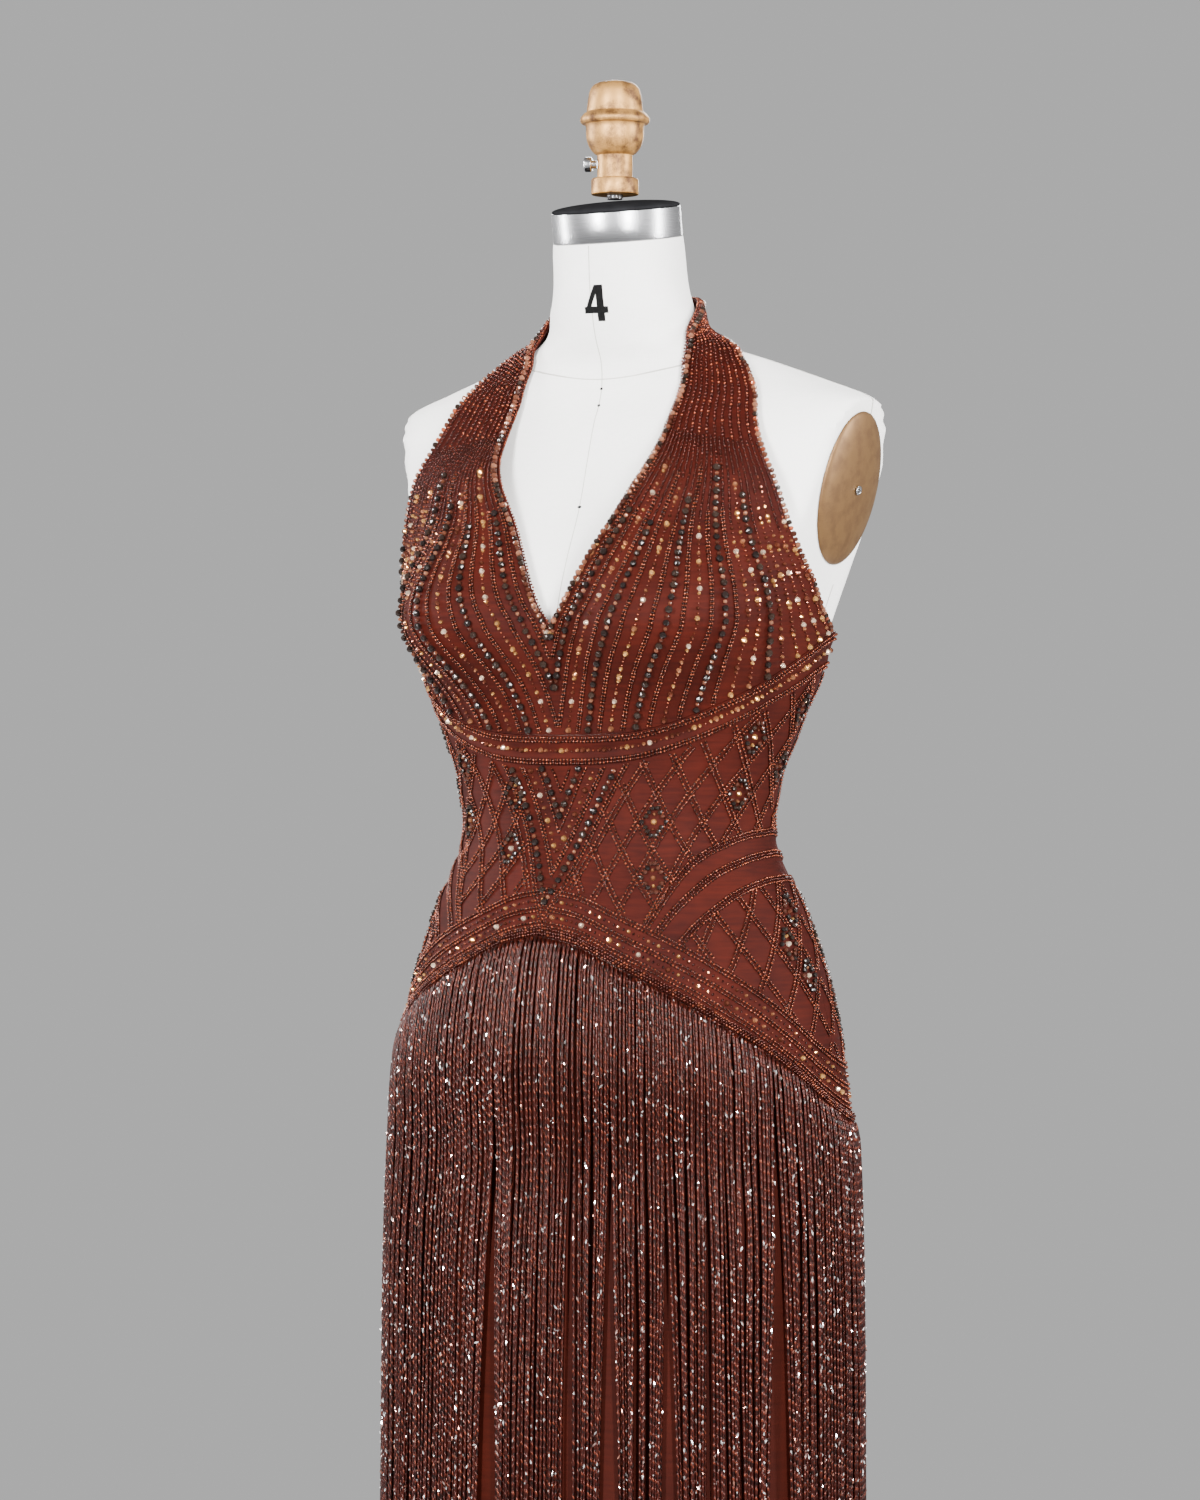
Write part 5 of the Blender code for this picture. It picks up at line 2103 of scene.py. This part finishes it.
@dataclass
class NeckFittings:
    """Steel ring, black cap, rod, turned finial and its set screw."""

    form: Form
    brushed: Material
    bare: Material
    gloss: Material
    paint: Material
    ring_radius: float = 0.0476
    ring_height: float = 0.022
    cap_radius: float = 0.0472
    cap_edge: float = 0.0012
    cap_dome: float = 0.0050
    rod_radius: float = 0.0060
    finial_foot: float = 1.5240
    sides: int = 80

    def build(self) -> None:
        """Build the ring and cap on the leaning neck, then the rod, finial and screw."""
        lean = Matrix.Translation((0, self.form.neck_middle, self.form.neck_top))
        lean = lean @ Matrix.Rotation(self.form.tilt, 4, "X")
        ring_top = GAP + self.ring_height
        ring = turned("neck_ring_steel", ((self.ring_radius, GAP), (self.ring_radius, ring_top)),
                      self.sides, 0.0005)
        settle(ring, lean)
        dress(ring, self.brushed, "steel", ["neck_ring"])
        foot = ring_top + GAP
        dome = [(self.cap_radius * math.cos(turn), foot + self.cap_edge + self.cap_dome * math.sin(turn))
                for turn in np.linspace(0.0, 1.50, 12)]
        cap = turned("neck_cap_gloss", [(self.cap_radius, foot)] + dome, self.sides, 0.0004)
        settle(cap, lean)
        dress(cap, self.gloss, "black_gloss", ["neck_cap"])
        top = (lean @ Vector((0, 0, foot + self.cap_edge + self.cap_dome))).z + 0.0012
        thread = [(self.rod_radius - 0.0003 * (step % 2), height)
                  for step, height in enumerate(np.linspace(top, self.finial_foot - GAP, 12))]
        dress(turned("neck_rod_steel", thread, 48, 0.0002), self.bare, "steel", ["neck_rod"])
        self.build_finial()
        self.build_set_screw()

    def build_finial(self) -> None:
        """Turn the finial: a foot, a collar, a bulb with a raised ring, and a dome."""
        rings = [(0.0172, self.finial_foot), (0.0175, 1.5250), (0.0175, 1.5345), (0.0168, 1.5358)]
        rings += [(0.0130, 1.5362), (0.0130, 1.5528)]
        rings += eased(((0.0138, 1.5534), (0.0156, 1.5546), (0.0184, 1.5582), (0.0203, 1.5625),
                        (0.0212, 1.5670), (0.0213, 1.5735)), 24)
        rings += eased(((0.0222, 1.5757), (0.0244, 1.5762), (0.0255, 1.5780), (0.0253, 1.5803),
                        (0.0232, 1.5832)), 14)
        rings += eased(((0.0209, 1.5846), (0.0203, 1.5900), (0.0195, 1.5960), (0.0178, 1.6018),
                        (0.0140, 1.6057), (0.0080, 1.6073), (0.0015, 1.6077)), 30)
        finial = turned("finial_gold", rings, self.sides, 0.0003)
        dress(finial, self.paint, "gold_paint", ["finial"])

    def build_set_screw(self) -> None:
        """Turn the screw that clamps the rod, with a slot across its head."""
        rings = ((0.0030, 0.0133), (0.0030, 0.0168), (0.0048, 0.0170), (0.0055, 0.0178),
                 (0.0055, 0.0220), (0.0048, 0.0228))
        screw = turned("finial_set_screw", rings, 32, 0.0002)
        cut_slot(screw, (0.0130, 0.0014, 0.0022), rings[-1][1])
        lay_down = Matrix.Rotation(math.radians(200), 4, "Z") @ Matrix.Rotation(math.pi / 2, 4, "Y")
        settle(screw, Matrix.Translation((0, 0, 1.5465)) @ lay_down)
        dress(screw, self.bare, "steel", ["finial_screw"])


@dataclass
class Stand:
    """Bottom board, pole and round base."""

    form: Form
    steel: Material
    iron: Material
    wood: Material
    board_height: float = 0.012
    pole_radius: float = 0.016
    base_height: float = 0.046

    def build(self) -> None:
        """Build the board, then the pole and the base."""
        section = FORM_SECTIONS[0]
        top = self.form.foot - GAP
        foot = top - self.board_height
        bpy.ops.mesh.primitive_cylinder_add(vertices=96, radius=1.0, depth=self.board_height,
                                            location=(0, section.middle, (top + foot) / 2))
        board = bpy.context.object
        board.name = "bottom_board_ply"
        board.scale = (section.half_width - 0.004, section.half_depth - 0.004, 1)
        settle(board, Matrix.Identity(4))
        bevel(board, 0.0010)
        dress(board, self.wood, "board_wood", ["bottom_board"])
        pole = turned("pole_steel", ((self.pole_radius, self.base_height + GAP),
                                     (self.pole_radius, foot - GAP)), 64, 0.0005)
        dress(pole, self.steel, "steel", ["pole"])
        rings = [(0.1705, 0.0), (0.1720, 0.0015), (0.1720, 0.0070)]
        rings += eased(((0.1690, 0.0100), (0.1500, 0.0130), (0.0900, 0.0170), (0.0420, 0.0230),
                        (0.0300, 0.0300)), 20)
        rings += [(0.0290, 0.0440), (0.0270, self.base_height)]
        dress(turned("base_iron", rings, 128, 0.0006), self.iron, "black_iron", ["base"])


# Studio


@dataclass
class Studio:
    """Floor, soft lights and the camera at the photograph's viewing angle."""

    azimuth: float = math.radians(27)
    distance: float = 3.4
    eye_height: float = 1.116
    metres_per_pixel: float = 0.000735
    image_height: int = 1500
    shift_pixels: float = -15.0
    floor_radius: float = 3.4
    fade_start: float = 1.3
    floor_light: Triple = (0.76, 0.76, 0.765)
    floor_dark: Triple = (0.72, 0.72, 0.725)
    surroundings: Triple = (0.92, 0.92, 0.92)
    ambient: float = 0.55
    aim_height: float = 1.50

    def build_floor(self) -> None:
        """Build a round floor that fades into the pale surroundings at its edge."""
        bpy.ops.mesh.primitive_circle_add(vertices=96, radius=self.floor_radius, fill_type="NGON")
        floor = bpy.context.object
        floor.name = "floor"
        shader = Shader("studio_floor")
        place = shader.mapped("Object")
        stops = ((0.3, self.floor_dark), (0.7, self.floor_light))
        shader.set(Base_Color=shader.ramp(shader.noise(place, 3.0), stops), Roughness=0.75)
        far = shader.add("VectorMath", operation="LENGTH", Vector=place).outputs["Value"]
        fade = shader.add("MapRange", interpolation_type="SMOOTHSTEP", Value=far,
                          From_Min=self.fade_start, From_Max=self.floor_radius - 0.1)
        glow = shader.add("Emission", Color=self.surroundings, Strength=self.ambient)
        blend = shader.add("MixShader", Fac=fade.outputs["Result"])
        shader.feed(blend.inputs[1], shader.surface.outputs["BSDF"])
        shader.feed(blend.inputs[2], glow.outputs["Emission"])
        output = shader.tree.nodes["Material Output"].inputs["Surface"]
        shader.feed(output, blend.outputs["Shader"])
        floor.data.materials.append(shader.material)

    def light(self, name: str, turn: float, out: float, height: float, size: tuple[float, float],
              power: float, spread: float = 180.0) -> None:
        """Hang an area light that faces the gown.

        Args:
            name: Its name.
            turn: Degrees round the gown from its front, towards the wearer's left.
            out: Distance from the middle.
            height: Height above the floor.
            size: Width and height.
            power: Watts.
            spread: Degrees over which it shines.
        """
        lamp = bpy.data.lights.new(name, "AREA")
        lamp.shape = "RECTANGLE"
        lamp.size, lamp.size_y = size
        lamp.energy = power
        lamp.spread = math.radians(spread)
        made = placed(name, lamp)
        angle = math.radians(turn)
        made.location = (out * math.sin(angle), -out * math.cos(angle), height)
        aim = Vector((0, 0, self.aim_height)) - made.location
        made.rotation_euler = aim.to_track_quat("-Z", "Y").to_euler()

    def build(self) -> None:
        """Build the floor, lights, world and camera."""
        self.build_floor()
        self.light("left_light", -81, 2.5, 1.85, (0.26, 1.7), 112)
        self.light("front_light", -6, 2.9, 1.9, (0.30, 1.9), 52, 80)
        self.light("key_light", 47, 2.9, 1.9, (0.30, 1.9), 49, 80)
        self.light("right_light", 106, 2.5, 1.85, (0.26, 1.7), 112)
        self.light("back_light", 200, 2.6, 2.3, (1.2, 1.2), 90)
        world = bpy.data.worlds.new("studio")
        world.use_nodes = True
        around = world.node_tree.nodes["Background"].inputs
        around["Color"].default_value = (*self.surroundings, 1.0)
        around["Strength"].default_value = self.ambient
        bpy.context.scene.world = world
        lens = bpy.data.cameras.new("camera")
        camera = placed("camera", lens)
        camera.location = (math.sin(self.azimuth) * self.distance,
                           -math.cos(self.azimuth) * self.distance, self.eye_height)
        camera.rotation_euler = (math.pi / 2, 0, self.azimuth)
        lens.sensor_fit = "VERTICAL"
        lens.sensor_height = 36
        lens.lens = 36 * (self.distance / self.metres_per_pixel) / self.image_height
        lens.shift_x = self.shift_pixels / self.image_height
        bpy.context.scene.camera = camera


def main() -> None:
    """Build the studio, the form, the stand and the gown, in that order."""
    deselect()
    Studio().build()

    canvas = CanvasFinish().material()
    seams = CanvasFinish("seam_canvas", (0.52, 0.50, 0.46), (0.40, 0.385, 0.35)).material()
    paint = GoldPaintFinish("gold_paint").material()
    plate_paint = GoldPaintFinish("gold_plate_paint", (0.150, 0.079, 0.028), (0.104, 0.052, 0.019),
                                  0.0001).material()
    ring_steel = SteelFinish("brushed_ring", (1.0, 1.0, 30.0), 0.24, 0.7).material()
    bare_steel = SteelFinish("zinc_plated", (1.0, 1.0, 4.0)).material()
    gloss = SpeckledFinish("black_gloss", (0.014, 0.014, 0.015), (0.010, 0.010, 0.011), 0.01,
                           0.00002, 0.3, specular=0.0).material()
    ink = SpeckledFinish("black_ink", (0.006, 0.006, 0.006), (0.003, 0.003, 0.003), 0.0015, 0.00002,
                         0.7, specular=0.05).material()
    iron = SpeckledFinish("black_iron", (0.034, 0.034, 0.036), (0.020, 0.020, 0.022), 0.003, 0.0003,
                          0.5, metal=0.4).material()
    wood = SpeckledFinish("board_wood", (0.42, 0.28, 0.16), (0.22, 0.13, 0.07), 0.02, 0.0002, 0.6,
                          stretch=(0.15, 1.0, 3.0)).material()

    form = Form(canvas, seams, ink)
    form.build()
    ArmPlates(plate_paint, bare_steel).build()
    NeckFittings(form, ring_steel, bare_steel, gloss, paint).build()
    Stand(form, bare_steel, iron, wood).build()

    rust = CrepeFinish("rust_crepe", (0.0405, 0.0042, 0.0017), (0.0185, 0.0018, 0.0008)).material()
    lining = CrepeFinish("underskirt_crepe", (0.0345, 0.0039, 0.0014),
                         (0.0228, 0.0025, 0.0009)).material()
    beads = {
        Shape.SEED: BeadFinish("seed_beads", 0.60, 0.20, 0.5).material(),
        Shape.FACETED: BeadFinish("faceted_beads", 0.20, 0.13, 0.35).material(),
        Shape.STONE: BeadFinish("cut_stones", 0.75, 0.10, 0.5).material(),
    }
    spark = BeadFinish("silver_lined_beads", 0.85, 0.14, 0.4).material()
    strands = StrandFinish().material()
    hanging = Fringe(strands, spark).build()
    Skirt(lining).build()
    Yoke(rust, beads, hanging).build()
    Band(rust, beads).build()
    Bodice(rust, beads).build()


if __name__ == "__main__":
    main()
